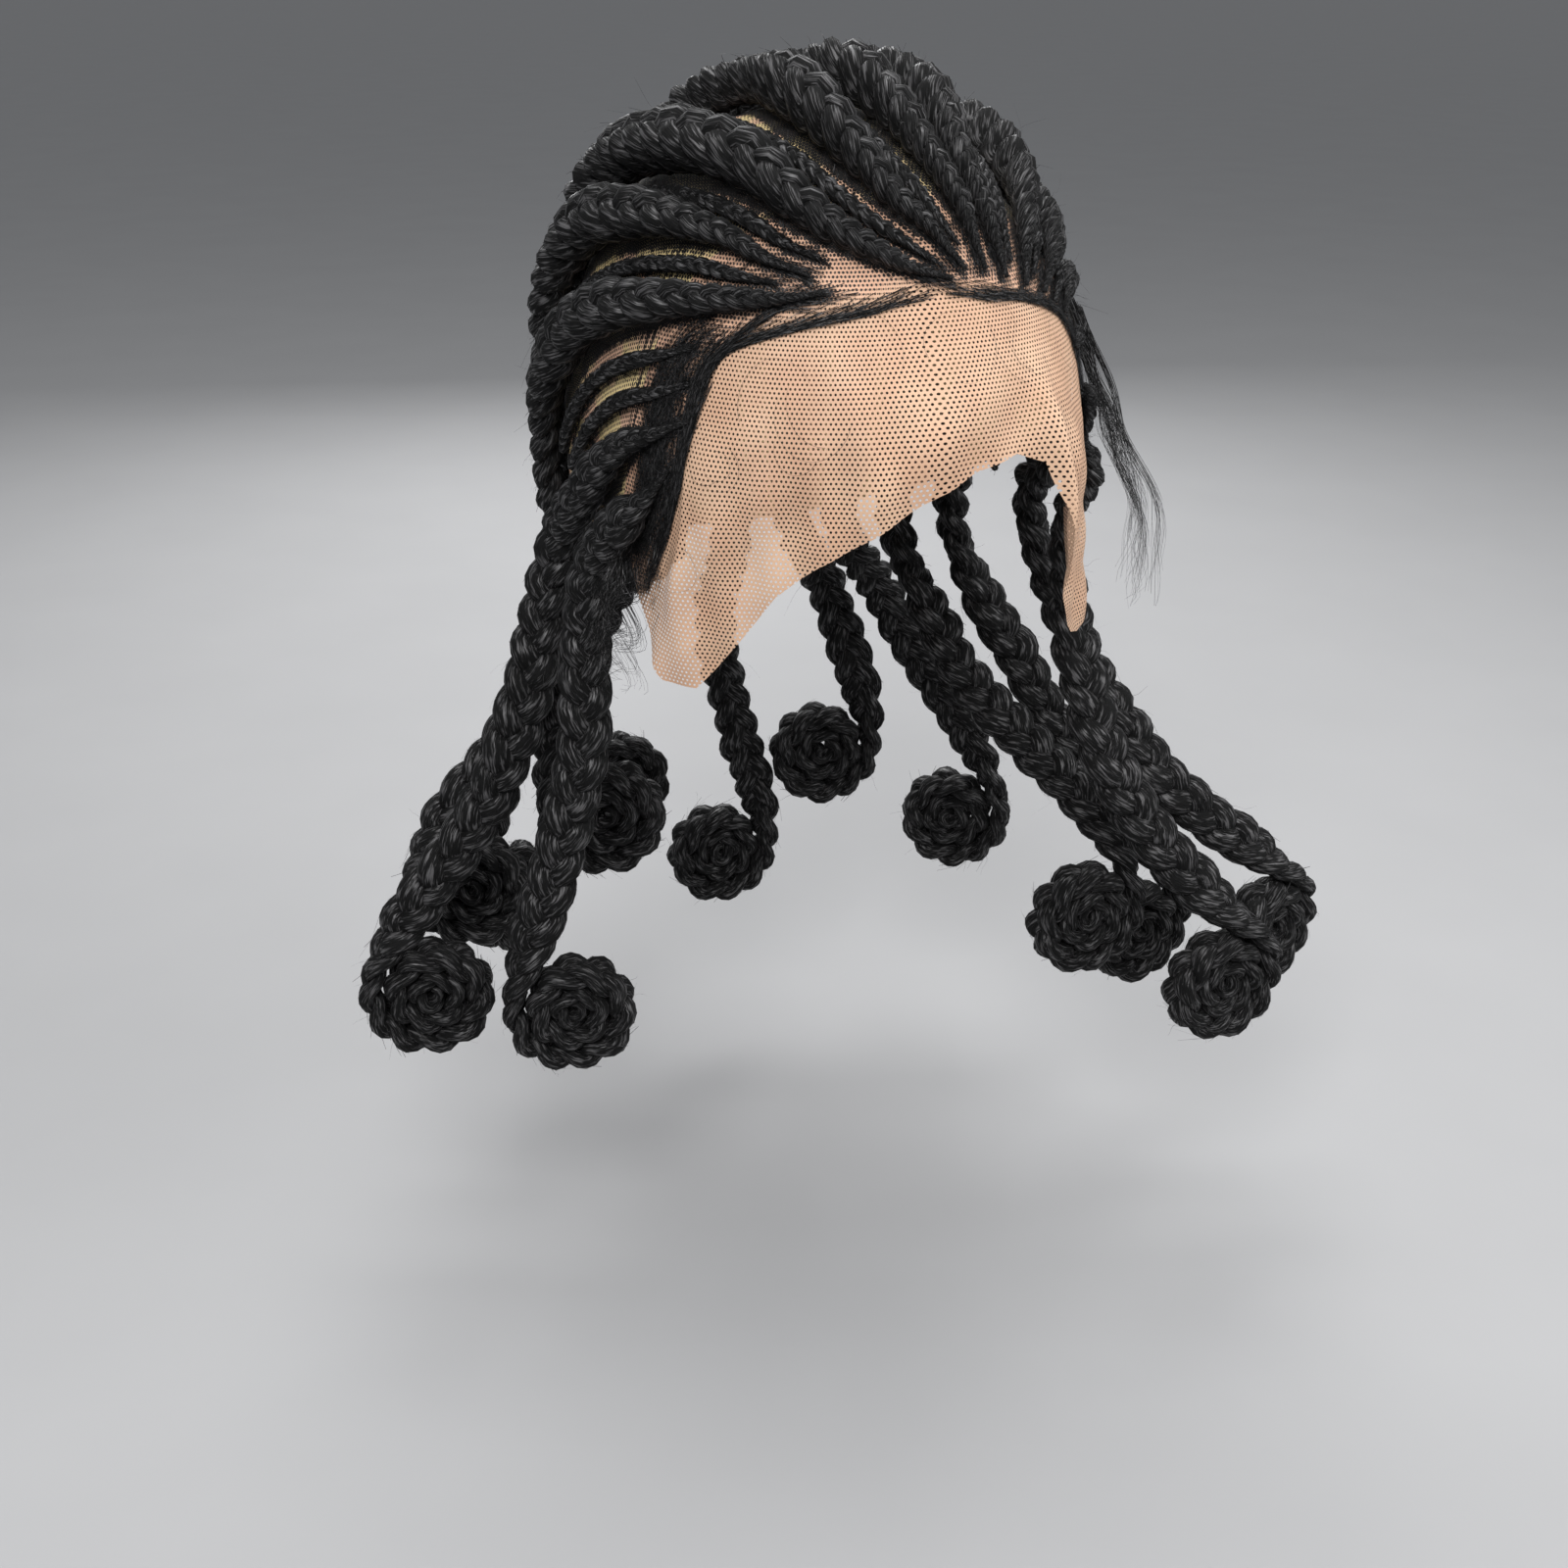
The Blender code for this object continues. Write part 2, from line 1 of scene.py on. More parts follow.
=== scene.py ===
# %% [markdown]
# # A braid wig, from the net cap to the coiled ends
#
# The real thing starts as a net cap with a sheer lace front. Hair is knotted into it and gathered into
# cornrows, and each thick cornrow runs on below the rim as a braid that is coiled up into a bun. Here
# the hair comes first, because the pattern of the net depends on where the rows lie.

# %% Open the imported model
import math

import bpy
import numpy as np
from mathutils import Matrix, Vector


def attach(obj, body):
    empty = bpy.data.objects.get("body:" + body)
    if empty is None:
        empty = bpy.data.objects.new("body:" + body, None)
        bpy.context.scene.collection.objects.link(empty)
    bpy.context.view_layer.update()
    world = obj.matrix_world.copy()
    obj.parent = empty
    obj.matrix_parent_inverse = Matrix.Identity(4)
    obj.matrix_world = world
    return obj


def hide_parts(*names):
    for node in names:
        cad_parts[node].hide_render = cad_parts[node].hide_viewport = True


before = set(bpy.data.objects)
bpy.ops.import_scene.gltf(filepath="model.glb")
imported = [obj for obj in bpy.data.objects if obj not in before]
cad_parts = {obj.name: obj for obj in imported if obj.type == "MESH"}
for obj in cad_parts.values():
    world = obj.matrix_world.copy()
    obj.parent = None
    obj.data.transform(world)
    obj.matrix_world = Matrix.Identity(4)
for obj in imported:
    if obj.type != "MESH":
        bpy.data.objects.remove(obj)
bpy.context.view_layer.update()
bpy.ops.object.select_all(action="DESELECT")

# %% [markdown]
# ## Camera, floor and light
#
# The camera looks slightly down on the wearer's right side. The wig hangs as on a head, so the floor
# lies below the lowest bun. Black hair shows its form only by what it reflects, so broad soft panels
# draw the grey sheen on each lobe of a braid, together with the sheen painted into the fibre's colour.

# %% Camera
bpy.ops.object.camera_add(
    location=(-0.2181, -0.5398, 0.0502),
    rotation=(math.radians(90 - 25.46), 0, math.radians(-21.0)),
)
camera = bpy.context.object
camera.data.lens = 41.6
camera.data.sensor_width = 36
camera.data.clip_start = 0.01
bpy.context.scene.camera = camera
print("camera stands", round(camera.location.length, 3), "m from the crown")

# %% Light panels
for name, place, aim, size, power in (
    ("key_panel", (-0.55, -0.95, 0.75), (0, 0, -0.14), 0.6, 17),
    ("fill_panel", (0.95, -0.60, 0.35), (0, 0, -0.16), 0.8, 9),
    ("top_panel", (0.05, 0.15, 1.10), (0, 0, -0.10), 0.7, 12),
    ("back_panel", (0.30, 1.10, 0.35), (0, 0, -0.14), 0.8, 9),
):
    bpy.ops.object.light_add(type="AREA", location=place)
    panel = bpy.context.object
    panel.name = name
    panel.data.energy = power
    panel.data.size = size
    panel.rotation_euler = (Vector(aim) - Vector(place)).to_track_quat("-Z", "Y").to_euler()
world = bpy.data.worlds.new("studio")
world.use_nodes = True
sky = world.node_tree.nodes["Background"].inputs
sky["Color"].default_value = (0.80, 0.82, 0.85, 1)
sky["Strength"].default_value = 0.42
bpy.context.scene.world = world
bpy.context.scene.view_settings.view_transform = "Standard"
print("panels and sky ready")

# %% [markdown]
# ## Writing shader maths as sums
#
# A finish such as hair or net is mostly arithmetic on where a point lies. One small class wraps a
# socket, so that a plain sum adds Math nodes. One method adds every other node.


# %% Sockets that can be added and multiplied
def adds(operation, turned=False):
    """A method that adds one Math node. Turned, it takes its own value last."""
    def method(self, *others):
        terms = (*others, self) if turned else (self, *others)
        return self.finish.wire("Math", {"operation": operation}, dict(enumerate(terms)))
    return method


class Wire:
    """The value of a socket. Arithmetic on it adds Math nodes."""

    def __init__(self, finish, socket):
        self.finish = finish
        self.socket = socket

    __add__ = __radd__ = adds("ADD")
    __mul__ = __rmul__ = adds("MULTIPLY")
    __sub__ = adds("SUBTRACT")
    __rsub__ = adds("SUBTRACT", turned=True)
    __truediv__ = adds("DIVIDE")
    fract = adds("FRACT")
    root = adds("SQRT")
    least = adds("MINIMUM")
    most = adds("MAXIMUM")

    def rise(self, low, high):
        """0 below low, 1 above high and smooth between."""
        return self.finish.wire(
            "MapRange", {"interpolation_type": "SMOOTHSTEP"}, {0: self, "From Min": low, "From Max": high}
        )


class Finish:
    """A Principled material whose constants are set here and whose changing inputs are driven by wires."""

    def __init__(self, name, **constants):
        self.material = bpy.data.materials.new(name)
        self.material.use_nodes = True
        self.tree = self.material.node_tree
        self.shader = self.tree.nodes["Principled BSDF"]
        for socket, value in constants.items():
            self.shader.inputs[socket.replace("_", " ")].default_value = value

    def wire(self, kind, settings=None, inputs=None, output=0):
        node = self.tree.nodes.new("ShaderNode" + kind)
        for name, value in (settings or {}).items():
            setattr(node, name, value)
        for name, value in (inputs or {}).items():
            if isinstance(value, Wire):
                self.tree.links.new(value.socket, node.inputs[name])
            else:
                node.inputs[name].default_value = value
        return Wire(self, node.outputs[output])

    def drive(self, socket, wire):
        self.tree.links.new(wire.socket, self.shader.inputs[socket])

    def surface_map(self, name="UVMap"):
        """The two coordinates of a UV map, each as a wire. The maps here are in metres."""
        split = self.wire("SeparateXYZ", {}, {0: self.wire("UVMap", {"uv_map": name})})
        return split, Wire(self, split.socket.node.outputs[1])

    def noise(self, across, along, seed, detail=2.0):
        place = self.wire("CombineXYZ", {}, {0: across, 1: along, 2: seed})
        return self.wire("TexNoise", {}, {"Vector": place, "Scale": 1.0, "Detail": detail})

    def blend(self, share, low, high):
        """Mixes two colours, each a plain colour or a wire."""
        low, high = (value if isinstance(value, Wire) else (*value, 1) for value in (low, high))
        return self.wire("Mix", {"data_type": "RGBA"}, {0: share, 6: low, 7: high}, output=2)

    def relief(self, strength, depth, height):
        bump = self.wire("Bump", {}, {"Strength": strength, "Distance": depth, "Height": height})
        self.drive("Normal", bump)


print("shader helpers ready")

# %% [markdown]
# ## The floor
#
# A pale sheet of studio paper, with a faint tooth so that it does not look like plastic.

# %% Floor
FLOOR_HEIGHT = -0.41
bpy.ops.mesh.primitive_plane_add(size=90, location=(0, 0, FLOOR_HEIGHT))
floor = bpy.context.object
floor.name = "studio_floor"
paper = Finish("studio_paper", Roughness=0.9)
across, along = paper.surface_map()
tooth = paper.noise(across * 900, along * 900, 0.0, 3.0)
paper.drive("Base Color", paper.blend(tooth, (0.325, 0.325, 0.33), (0.35, 0.35, 0.355)))
floor.data.materials.append(paper.material)
print("floor", FLOOR_HEIGHT, "m below the crown")

# %% [markdown]
# ## The head shape that everything lies on
#
# A wig is built over a block. Here the block is a formula: a dome that is slightly squared, with
# straight sides below its widest ring that tuck in at the nape. A place on it is two angles, one
# round from the forehead to the wearer's left and one down from the crown. The sizes are those of
# the solids.

# %% The block
HEAD_HALF_WIDTH = 0.0765
HEAD_FRONT_DEPTH = 0.092
HEAD_BACK_DEPTH = 0.098
HEAD_MEAN_RADIUS = 0.084
CROWN_HEIGHT = 0.095
SQUARENESS = 2.35
NAPE_TUCK = 0.20
NAPE_DROP = 0.058
CAP_WALL = 0.0012
LACE_WALL = 0.0010


def signed_power(value, exponent):
    return np.sign(value) * np.abs(value) ** exponent


def unit(vectors):
    return vectors / np.maximum(np.linalg.norm(vectors, axis=-1, keepdims=True), 1e-12)


def ease(value):
    value = np.clip(value, 0.0, 1.0)
    return value * value * (3 - 2 * value)


def block(around, down):
    """Points on the head block at the given angles."""
    around, down = np.asarray(around, float), np.asarray(down, float)
    angle = np.radians(around)
    dome = np.radians(np.minimum(down, 90.0))
    below = np.radians(np.maximum(down - 90.0, 0.0)) * CROWN_HEIGHT
    across = signed_power(np.sin(angle), 2 / SQUARENESS)
    ahead = signed_power(np.cos(angle), 2 / SQUARENESS)
    depth = np.where(ahead > 0, HEAD_FRONT_DEPTH, HEAD_BACK_DEPTH)
    turned_back = np.abs((around + 180) % 360 - 180)
    ring = np.sin(dome) * (1 - NAPE_TUCK * ease((turned_back - 95) / 60) * (below / NAPE_DROP) ** 2)
    height = CROWN_HEIGHT * (np.cos(dome) - 1) - below
    return np.stack([HEAD_HALF_WIDTH * ring * across, -depth * ring * ahead, height], -1)


def block_normal(around, down):
    around, down = np.asarray(around, float), np.maximum(np.asarray(down, float), 2.0)
    along = block(around, down + 0.5) - block(around, down - 0.5)
    aside = block(around + 0.5, down) - block(around - 0.5, down)
    return unit(np.cross(along, aside))


def on_block(around, down, lift=0.0):
    lift = np.broadcast_to(np.asarray(lift, float), np.shape(around))[..., None]
    return block(around, down) + block_normal(around, down) * lift


def place_of(points):
    """The two angles of points near the block."""
    depth = np.where(points[..., 1] < 0, HEAD_FRONT_DEPTH, HEAD_BACK_DEPTH)
    across = points[..., 0] / HEAD_HALF_WIDTH
    ahead = -points[..., 1] / depth
    height = 1 + points[..., 2] / CROWN_HEIGHT
    ring = np.maximum((np.abs(across) ** SQUARENESS + np.abs(ahead) ** SQUARENESS) ** (1 / SQUARENESS), 1e-9)
    around = np.arctan2(*(signed_power(share / ring, SQUARENESS / 2) for share in (across, ahead)))
    down = np.where(height > 0, np.degrees(np.arctan2(ring, height)), 90 - np.degrees(height))
    return np.degrees(around), down


print("block is", round(2000 * HEAD_HALF_WIDTH), "mm wide and",
      round(1000 * (HEAD_FRONT_DEPTH + HEAD_BACK_DEPTH)), "mm long")

# %% [markdown]
# ## Smooth lines through a few places
#
# A cornrow is drawn by hand through a few chalk marks. Each line here is a smooth curve through a
# few given marks.

# %% Lines
DENSE_STEP = 0.002


def smooth_path(points, first_slope=None, last_slope=None):
    """A smooth curve through the points."""
    points = np.asarray(points, float)
    chords = np.linalg.norm(np.diff(points, axis=0), axis=1)
    slopes = np.diff(points, axis=0) / chords[:, None]
    before, after = chords[:-1, None], chords[1:, None]
    inner = (slopes[1:] * before + slopes[:-1] * after) / (before + after)
    first = slopes[0] if first_slope is None else first_slope
    last = slopes[-1] if last_slope is None else last_slope
    tangents = np.vstack([first, inner, last])
    curve = []
    for index, chord in enumerate(chords):
        share = np.linspace(0, 1, max(3, int(chord / DENSE_STEP)), endpoint=False)[:, None]
        cube, square = share ** 3, share ** 2
        curve.append(
            (2 * cube - 3 * square + 1) * points[index]
            + (cube - 2 * square + share) * chord * tangents[index]
            + (3 * square - 2 * cube) * points[index + 1]
            + (cube - square) * chord * tangents[index + 1]
        )
    curve.append(points[-1:])
    return np.vstack(curve)


def lengths_along(points):
    return np.concatenate([[0.0], np.cumsum(np.linalg.norm(np.diff(points, axis=0), axis=1))])


def distances(first, second):
    return np.linalg.norm(first[:, None] - second[None], axis=2)


def read_at(where, lengths, values):
    """Rows of values, such as points, read at any lengths along a line."""
    return np.stack([np.interp(where, lengths, column) for column in values.T], -1)


print("lines are read every", 1000 * DENSE_STEP, "mm")

# %% [markdown]
# ## Where the rows run
#
# Thick cornrows start at the hairline, sweep over the head and leave the cap at its rim, to hang to
# a bun. The marks are those of the solids, so the strands keep the form of the solids.

# %% Marks of the rows and the hanging lengths
ROWS = (
    # name and marks, each round from the forehead and down from the crown, in degrees
    ("right_sideburn", ((-57, 88), (-62, 93), (-69, 100), (-75, 105))),
    ("right_temple", ((-52, 79), (-60, 82), (-68, 85), (-77, 92), (-85, 100), (-90, 105))),
    ("right_low", (
        (-21, 56.5), (-33, 58), (-47, 59), (-63, 61), (-82, 66), (-95, 77), (-108, 93), (-115, 112))),
    ("right_high", (
        (-25, 53.5), (-37, 51), (-49, 48), (-63, 47), (-79, 48), (-100, 54), (-119, 72), (-131, 117))),
    ("right_crown", (
        (6, 55), (-4, 52), (-14, 48), (-26, 43), (-44, 36), (-73, 33), (-119, 45), (-147, 120))),
    ("back_right", (
        (10, 53.5), (5, 47), (-2, 40), (-10, 31), (-27, 20), (-119, 12), (-157, 40), (-163, 122))),
    ("back_middle", (
        (16, 54), (16, 43), (15, 30), (20, 14), (150, 3), (180, 24), (180, 85), (180, 123))),
    ("back_left", (
        (22, 56), (24, 44), (29, 33), (64, 20), (125, 19), (156, 42), (163, 85), (163, 122))),
    ("left_crown", ((28.5, 58), (36, 51), (59, 42), (88, 36), (117, 42), (138, 65), (147, 120))),
    ("left_high", ((36, 60), (57, 54), (80, 51), (100, 55), (116, 66), (127, 85), (131, 117))),
    ("left_low", ((46, 65), (62, 62), (82, 66), (96, 77), (108, 93), (115, 112))),
    ("left_temple", ((52, 79), (60, 82), (68, 85), (77, 92), (85, 100), (90, 105))),
    ("left_sideburn", ((57, 88), (62, 93), (69, 100), (75, 105))),
)
ROW_NAMES = [name for name, _ in ROWS]
THIN_ROWS = (
    # the thick row before it, its place across the strip, the share of the strip that it may fill
    ("right_temple", 0.30, 0.4),
    ("right_temple", 0.72, 0.4),
    *((name, 0.5, 1.0) for name in ROW_NAMES[2:10]),
    ("left_low", 0.5, 0.6),
)
HANGS = {
    # side, the middle's reach, back and drop, the bun's reach, back and drop, where it faces, its lean
    "right_sideburn": (-1, 0.16, -0.20, 0.55, 0.23, -0.22, 1.00, -14, 20),
    "right_temple": (-1, 0.42, 0.00, 0.58, 0.75, 0.00, 0.98, -12, 30),
    "right_low": (-1, 0.16, 0.49, 0.54, 0.48, 0.36, 0.88, -14, 26),
    "right_high": (-1, -0.13, 0.69, 0.47, -0.10, 0.31, 0.76, -20, 0),
    "right_crown": (-1, -0.12, 0.92, 0.52, 0.21, 0.78, 1.03, 210, 20),
    "back_right": (-1, -0.38, 1.04, 0.48, -0.38, 1.02, 0.88, 188, 5),
    "back_middle": (1, -0.90, 1.06, 0.55, -0.90, 1.08, 1.10, 180, 5),
    "back_left": (1, -0.38, 1.04, 0.48, -0.38, 1.02, 0.88, 172, 5),
    "left_crown": (1, -0.12, 0.92, 0.52, 0.21, 0.78, 1.03, 150, 20),
    "left_high": (1, -0.08, 0.41, 0.53, 0.16, -0.41, 0.95, 4, 8),
    "left_low": (1, 0.28, 0.26, 0.62, 0.59, -0.18, 1.08, 8, 20),
    "left_temple": (1, 0.44, -0.46, 0.67, 0.92, -0.62, 0.99, 20, 50),
    "left_sideburn": (1, 0.11, -0.61, 0.61, 0.51, -0.86, 1.00, 4, 52),
}
print(len(ROWS), "thick rows and", len(THIN_ROWS), "thin rows")

# %% Sizes of the rows, braids and buns
ROW_SEAT = 0.0008
ROW_GAP = 0.0010
ROW_START_WIDTH = 0.0044
ROW_FULL_WIDTH = 0.0165
ROW_SIDE_HEIGHT_SHARE = 0.32
ROW_CROWN_HEIGHT_SHARE = 0.56
ROW_GROWTH = 0.080
ROW_GROWTH_SHARE = 0.8
ROW_ROOM_SHARE = 0.4
THIN_WIDTH = 0.0050
THIN_HEIGHT = 0.0034
THIN_LEAST_SHARE = 0.6
BRAID_WIDTH = 0.0180
BRAID_THICKNESS = 0.0120
SETTLE_SHARE = 0.35
TWIST_LENGTH = 0.035
FLARE = 0.085
HANG_DROP = 0.190
BUN_RADIUS = 0.0248
BUN_DEPTH = 0.0170
BUN_PITCH = 0.0080
HEAD_SHARE = 0.32
HEAD_LENGTH = 0.022


def marked(places):
    return block(*np.asarray(places, float).T)


def row_line(points):
    """A smooth line through points on the block: its two angles and its own points."""
    around, down = place_of(smooth_path(points))
    return around, down, block(around, down)


def row_half_width(surface, neighbours):
    """A cornrow grows from the hairline and shares the room beside it with its neighbours."""
    lengths = lengths_along(surface)
    grown = ease(lengths / min(ROW_GROWTH, ROW_GROWTH_SHARE * lengths[-1]))
    half = (ROW_START_WIDTH + (ROW_FULL_WIDTH - ROW_START_WIDTH) * grown) / 2
    for other in neighbours:
        half = np.minimum(half, ROW_ROOM_SHARE * distances(surface, other).min(axis=1))
    return half


def row_height_share(down):
    crownward = np.cos(np.radians(down)).clip(0)
    return 2 * (ROW_SIDE_HEIGHT_SHARE + (ROW_CROWN_HEIGHT_SHARE - ROW_SIDE_HEIGHT_SHARE) * crownward)


def picked_up(half, surface):
    """A row's half width, narrowed at its head, where the first hair is picked up."""
    return half * (HEAD_SHARE + (1 - HEAD_SHARE) * ease(lengths_along(surface) / HEAD_LENGTH))


row_lines = [row_line(marked(places)) for _, places in ROWS]
row_halves = []
for index, line in enumerate(row_lines):
    beside = [row_lines[other][2] for other in (index - 1, index + 1) if 0 <= other < len(ROWS)]
    row_halves.append(row_half_width(line[2], beside))
for name, line, half in list(zip(ROW_NAMES, row_lines, row_halves))[::4]:
    length = lengths_along(line[2])[-1]
    print(name, "is", round(length * 1000), "mm long and up to", round(half.max() * 2000, 1), "mm wide")

# %% [markdown]
# ## The line of one braid, down to the middle of its coil
#
# Below the rim the braid bends out, hangs, and turns on edge as it winds into the bun, like a
# rolled belt. Following one line from hairline to coil keeps the plait unbroken, as in the hand.


# %% From the hairline to the bun
def hang_point(side, reach, back, drop):
    across = side * (HEAD_HALF_WIDTH + FLARE * reach)
    return np.array([across, HEAD_BACK_DEPTH * back, -CROWN_HEIGHT - HANG_DROP * drop])


def bun_frame(name):
    """Centre of a bun, where it faces, the side its braid comes in on, and which way it runs."""
    side, _, _, _, reach, back, drop, faces, lean = HANGS[name]
    faces, lean = math.radians(faces), math.radians(lean)
    facing = np.array([math.sin(faces), -math.cos(faces), 0.0])
    rise = np.array([0.0, 0.0, 1.0])
    outer = np.cross(facing, rise)
    outer *= np.sign(outer[0]) * side
    spoke = math.cos(lean) * outer + math.sin(lean) * rise
    inward = math.sin(lean) * outer - math.cos(lean) * rise
    return hang_point(side, reach, back, drop), facing, spoke, inward


COIL_TURNS = 2.8
COIL_PITCH = 0.0091
COIL_TIGHTENING = 0.00075
COIL_OVERLAP = 1.30


def coil_line(name):
    """The spiral in the bun: points, outward directions and half sizes of the braid in it."""
    centre, facing, spoke, inward = bun_frame(name)
    turns = np.linspace(0, COIL_TURNS, 220)[1:, None]
    radius = BUN_RADIUS - BUN_PITCH / 2 - COIL_PITCH * turns + COIL_TIGHTENING * turns ** 2
    outward = np.cos(2 * np.pi * turns) * spoke + np.sin(2 * np.pi * turns) * inward
    points = centre + radius * outward + facing * 0.0012 * np.sin(turns * 1.1)
    pitch = COIL_PITCH - COIL_TIGHTENING * (2 * turns[:, 0] + 1)
    narrowing = 1 - 0.30 * ease(turns[:, 0] / COIL_TURNS)
    grip = 1 + (COIL_OVERLAP - 1) * ease(turns[:, 0] / 0.3)
    return points, outward, BUN_DEPTH / 2 * narrowing, pitch / 2 * grip


def braid_line(name):
    """Points, outward directions, half widths and half heights, and how far along the bun begins."""
    index = ROW_NAMES.index(name)
    around, down, surface = row_lines[index]
    half_width = picked_up(row_halves[index], surface)
    half_height = half_width * row_height_share(down)
    seated = on_block(around, down, CAP_WALL + ROW_SEAT + half_height)
    centre, facing, spoke, inward = bun_frame(name)
    entry = centre + spoke * (BUN_RADIUS - BUN_PITCH / 2)
    middle = hang_point(*HANGS[name][:4])
    hanging = smooth_path([seated[-1], middle, entry], unit(seated[-1] - seated[-3]), inward)[1:]
    hang_lengths = lengths_along(np.vstack([seated[-1:], hanging]))[1:]
    free = hang_lengths[-1]
    keys = np.array([0, SETTLE_SHARE * free, free - TWIST_LENGTH, free])
    normals = block_normal(around, down)
    turning = read_at(hang_lengths, keys, np.array([normals[-1], facing, facing, spoke]))
    widths = np.array([half_width[-1], BRAID_WIDTH / 2, BRAID_WIDTH / 2, BUN_DEPTH / 2])
    heights = np.array([half_height[-1], BRAID_THICKNESS / 2, BRAID_THICKNESS / 2, BUN_PITCH / 2])
    coil, coil_outward, coil_width, coil_height = coil_line(name)
    points = np.vstack([seated, hanging, coil])
    outward = np.vstack([normals, turning, coil_outward])
    wide = np.concatenate([half_width, np.interp(hang_lengths, keys, widths), coil_width])
    high = np.concatenate([half_height, np.interp(hang_lengths, keys, heights), coil_height])
    return points, outward, wide, high, lengths_along(points)[len(seated) + len(hanging) - 1]


temple_length = lengths_along(braid_line("right_temple")[0])[-1]
print("the braid at the right temple is", round(temple_length * 1000), "mm long with its coil")

# %% [markdown]
# ## Black synthetic fibre
#
# The fibre is black, crimped and slightly glossy. A lobe of a braid is hundreds of hairs side by
# side, so fine streaks along the strand change its relief and its gloss, and lighten its colour as
# painted sheen. The map on each strand is in metres, so the streaks are as fine on a thin row as on
# a thick braid.

# %% The fibre finish
fibre = Finish("black_fibre", Roughness=0.60, Specular_IOR_Level=0.20, Coat_Roughness=0.46, Coat_IOR=1.5)
across, along = fibre.surface_map()
wander = fibre.noise(across * 90, along * 130, 3.0) * 0.0016
hair = across + wander
tufts = fibre.noise(hair * 700, along * 240, 0.0)
streaks = fibre.noise(hair * 2000, along * 330, 7.0)
hairs = fibre.noise(hair * 6000, along * 420, 13.0, 1.0)
painted_sheen_and_gloss = (tufts * 0.40 + streaks * 0.42 + hairs * 0.18).rise(0.49, 0.62)
# The lighter colour in the streaks is painted sheen; the fibre's own colour is the near-black.
fibre.drive("Base Color", fibre.blend(painted_sheen_and_gloss, (0.0008, 0.0008, 0.0009), (0.060, 0.058, 0.060)))
fibre.drive("Roughness", 0.80 - painted_sheen_and_gloss * 0.30)
fibre.drive("Coat Weight", painted_sheen_and_gloss * 0.70)
fibre.relief(1.0, 0.0012, tufts * 0.40 + streaks * 0.40 + hairs * 0.20)
print("fibre finish has", len(fibre.tree.nodes), "nodes")

# %% [markdown]
# ## Joining many small shapes into one mesh
#
# Three strands wound round each other and thousands of loose hairs can't be made one by one with
# edit tools. Curves with a bevel would do for a rope, but these strands swell and flatten as they
# cross, so their rings are worked out as arrays and joined into one mesh.


# %% Tubes, ribbons and pieces
def tube(rings, across, along):
    """A closed tube through rings of points: points, four-sided and three-sided faces, and their maps."""
    count, sides = rings.shape[:2]
    here = np.arange(count * sides).reshape(count, sides)
    beside = np.roll(here, -1, axis=1)
    quads = np.stack([here[:-1], here[1:], beside[1:], beside[:-1]], -1).reshape(-1, 4)
    spots = np.stack(np.broadcast_arrays(np.linspace(0, across, sides + 1), along[:, None]), -1)
    quad_map = np.stack([spots[:-1, :-1], spots[1:, :-1], spots[1:, 1:], spots[:-1, 1:]], 2).reshape(-1, 4, 2)
    ends = np.array([rings[0].mean(axis=0), rings[-1].mean(axis=0)])
    near = np.stack([np.full(sides, count * sides), here[0], beside[0]], -1)
    far = np.stack([np.full(sides, count * sides + 1), beside[-1], here[-1]], -1)
    tip_map = np.repeat(spots[[0, -1], :-1].reshape(-1, 1, 2), 3, axis=1)
    return np.vstack([rings.reshape(-1, 3), ends]), quads, quad_map, np.vstack([near, far]), tip_map


def ribbons(lines, facing, width, rng):
    """Flat hairs along many lines at once, with their broad side towards facing and a pointed end."""
    count, steps = lines.shape[:2]
    tangents = unit(np.gradient(lines, axis=1))
    aside = unit(np.cross(tangents, np.broadcast_to(facing, lines.shape)))
    taper = np.linspace(1.0, 0.35, steps)[None, :, None] * np.reshape(width, (-1, 1, 1)) / 2
    points = np.stack([lines - aside * taper, lines + aside * taper], axis=2)
    here = np.arange(count * steps * 2).reshape(count, steps, 2)
    quads = np.stack([here[:, :-1, 0], here[:, :-1, 1], here[:, 1:, 1], here[:, 1:, 0]], -1).reshape(-1, 4)
    steps_long = np.linalg.norm(np.diff(lines, axis=1), axis=2)
    length = np.pad(np.cumsum(steps_long, axis=1), ((0, 0), (1, 0)))
    left = rng.uniform(0, 0.02, (count, 1)) + np.zeros((count, steps))
    edges = np.stack([left, left + np.reshape(width, (-1, 1))], -1)
    spots = np.stack(np.broadcast_arrays(edges, length[..., None]), -1)
    quad_map = np.stack([spots[:, :-1, 0], spots[:, :-1, 1], spots[:, 1:, 1], spots[:, 1:, 0]], 2)
    no_tips = np.zeros((0, 3), int)
    return points.reshape(-1, 3), quads, quad_map.reshape(-1, 4, 2), no_tips, np.zeros((0, 3, 2))


def hair_piece(name, parts, *nodes):
    """Joins the parts into one piece of fibre that rides on the wig and may stand for solids."""
    offsets = np.cumsum([0] + [len(part[0]) for part in parts])
    quads = np.vstack([part[1] + offset for part, offset in zip(parts, offsets)])
    tips = np.vstack([part[3] + offset for part, offset in zip(parts, offsets)])
    mesh = bpy.data.meshes.new(name)
    mesh.from_pydata(np.vstack([part[0] for part in parts]).tolist(), [], quads.tolist() + tips.tolist())
    places = np.concatenate([part[kind].reshape(-1, 2) for kind in (2, 4) for part in parts])
    mesh.uv_layers.new(name="UVMap").uv.foreach_set("vector", places.astype(np.float32).ravel())
    mesh.shade_smooth()
    mesh.materials.append(fibre.material)
    piece = bpy.data.objects.new(name, mesh)
    bpy.context.scene.collection.objects.link(piece)
    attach(piece, "root")
    if nodes:
        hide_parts(*nodes)
    return piece


def triangles(piece):
    return sum(len(face.vertices) - 2 for face in piece.data.polygons)


print("mesh helpers ready")

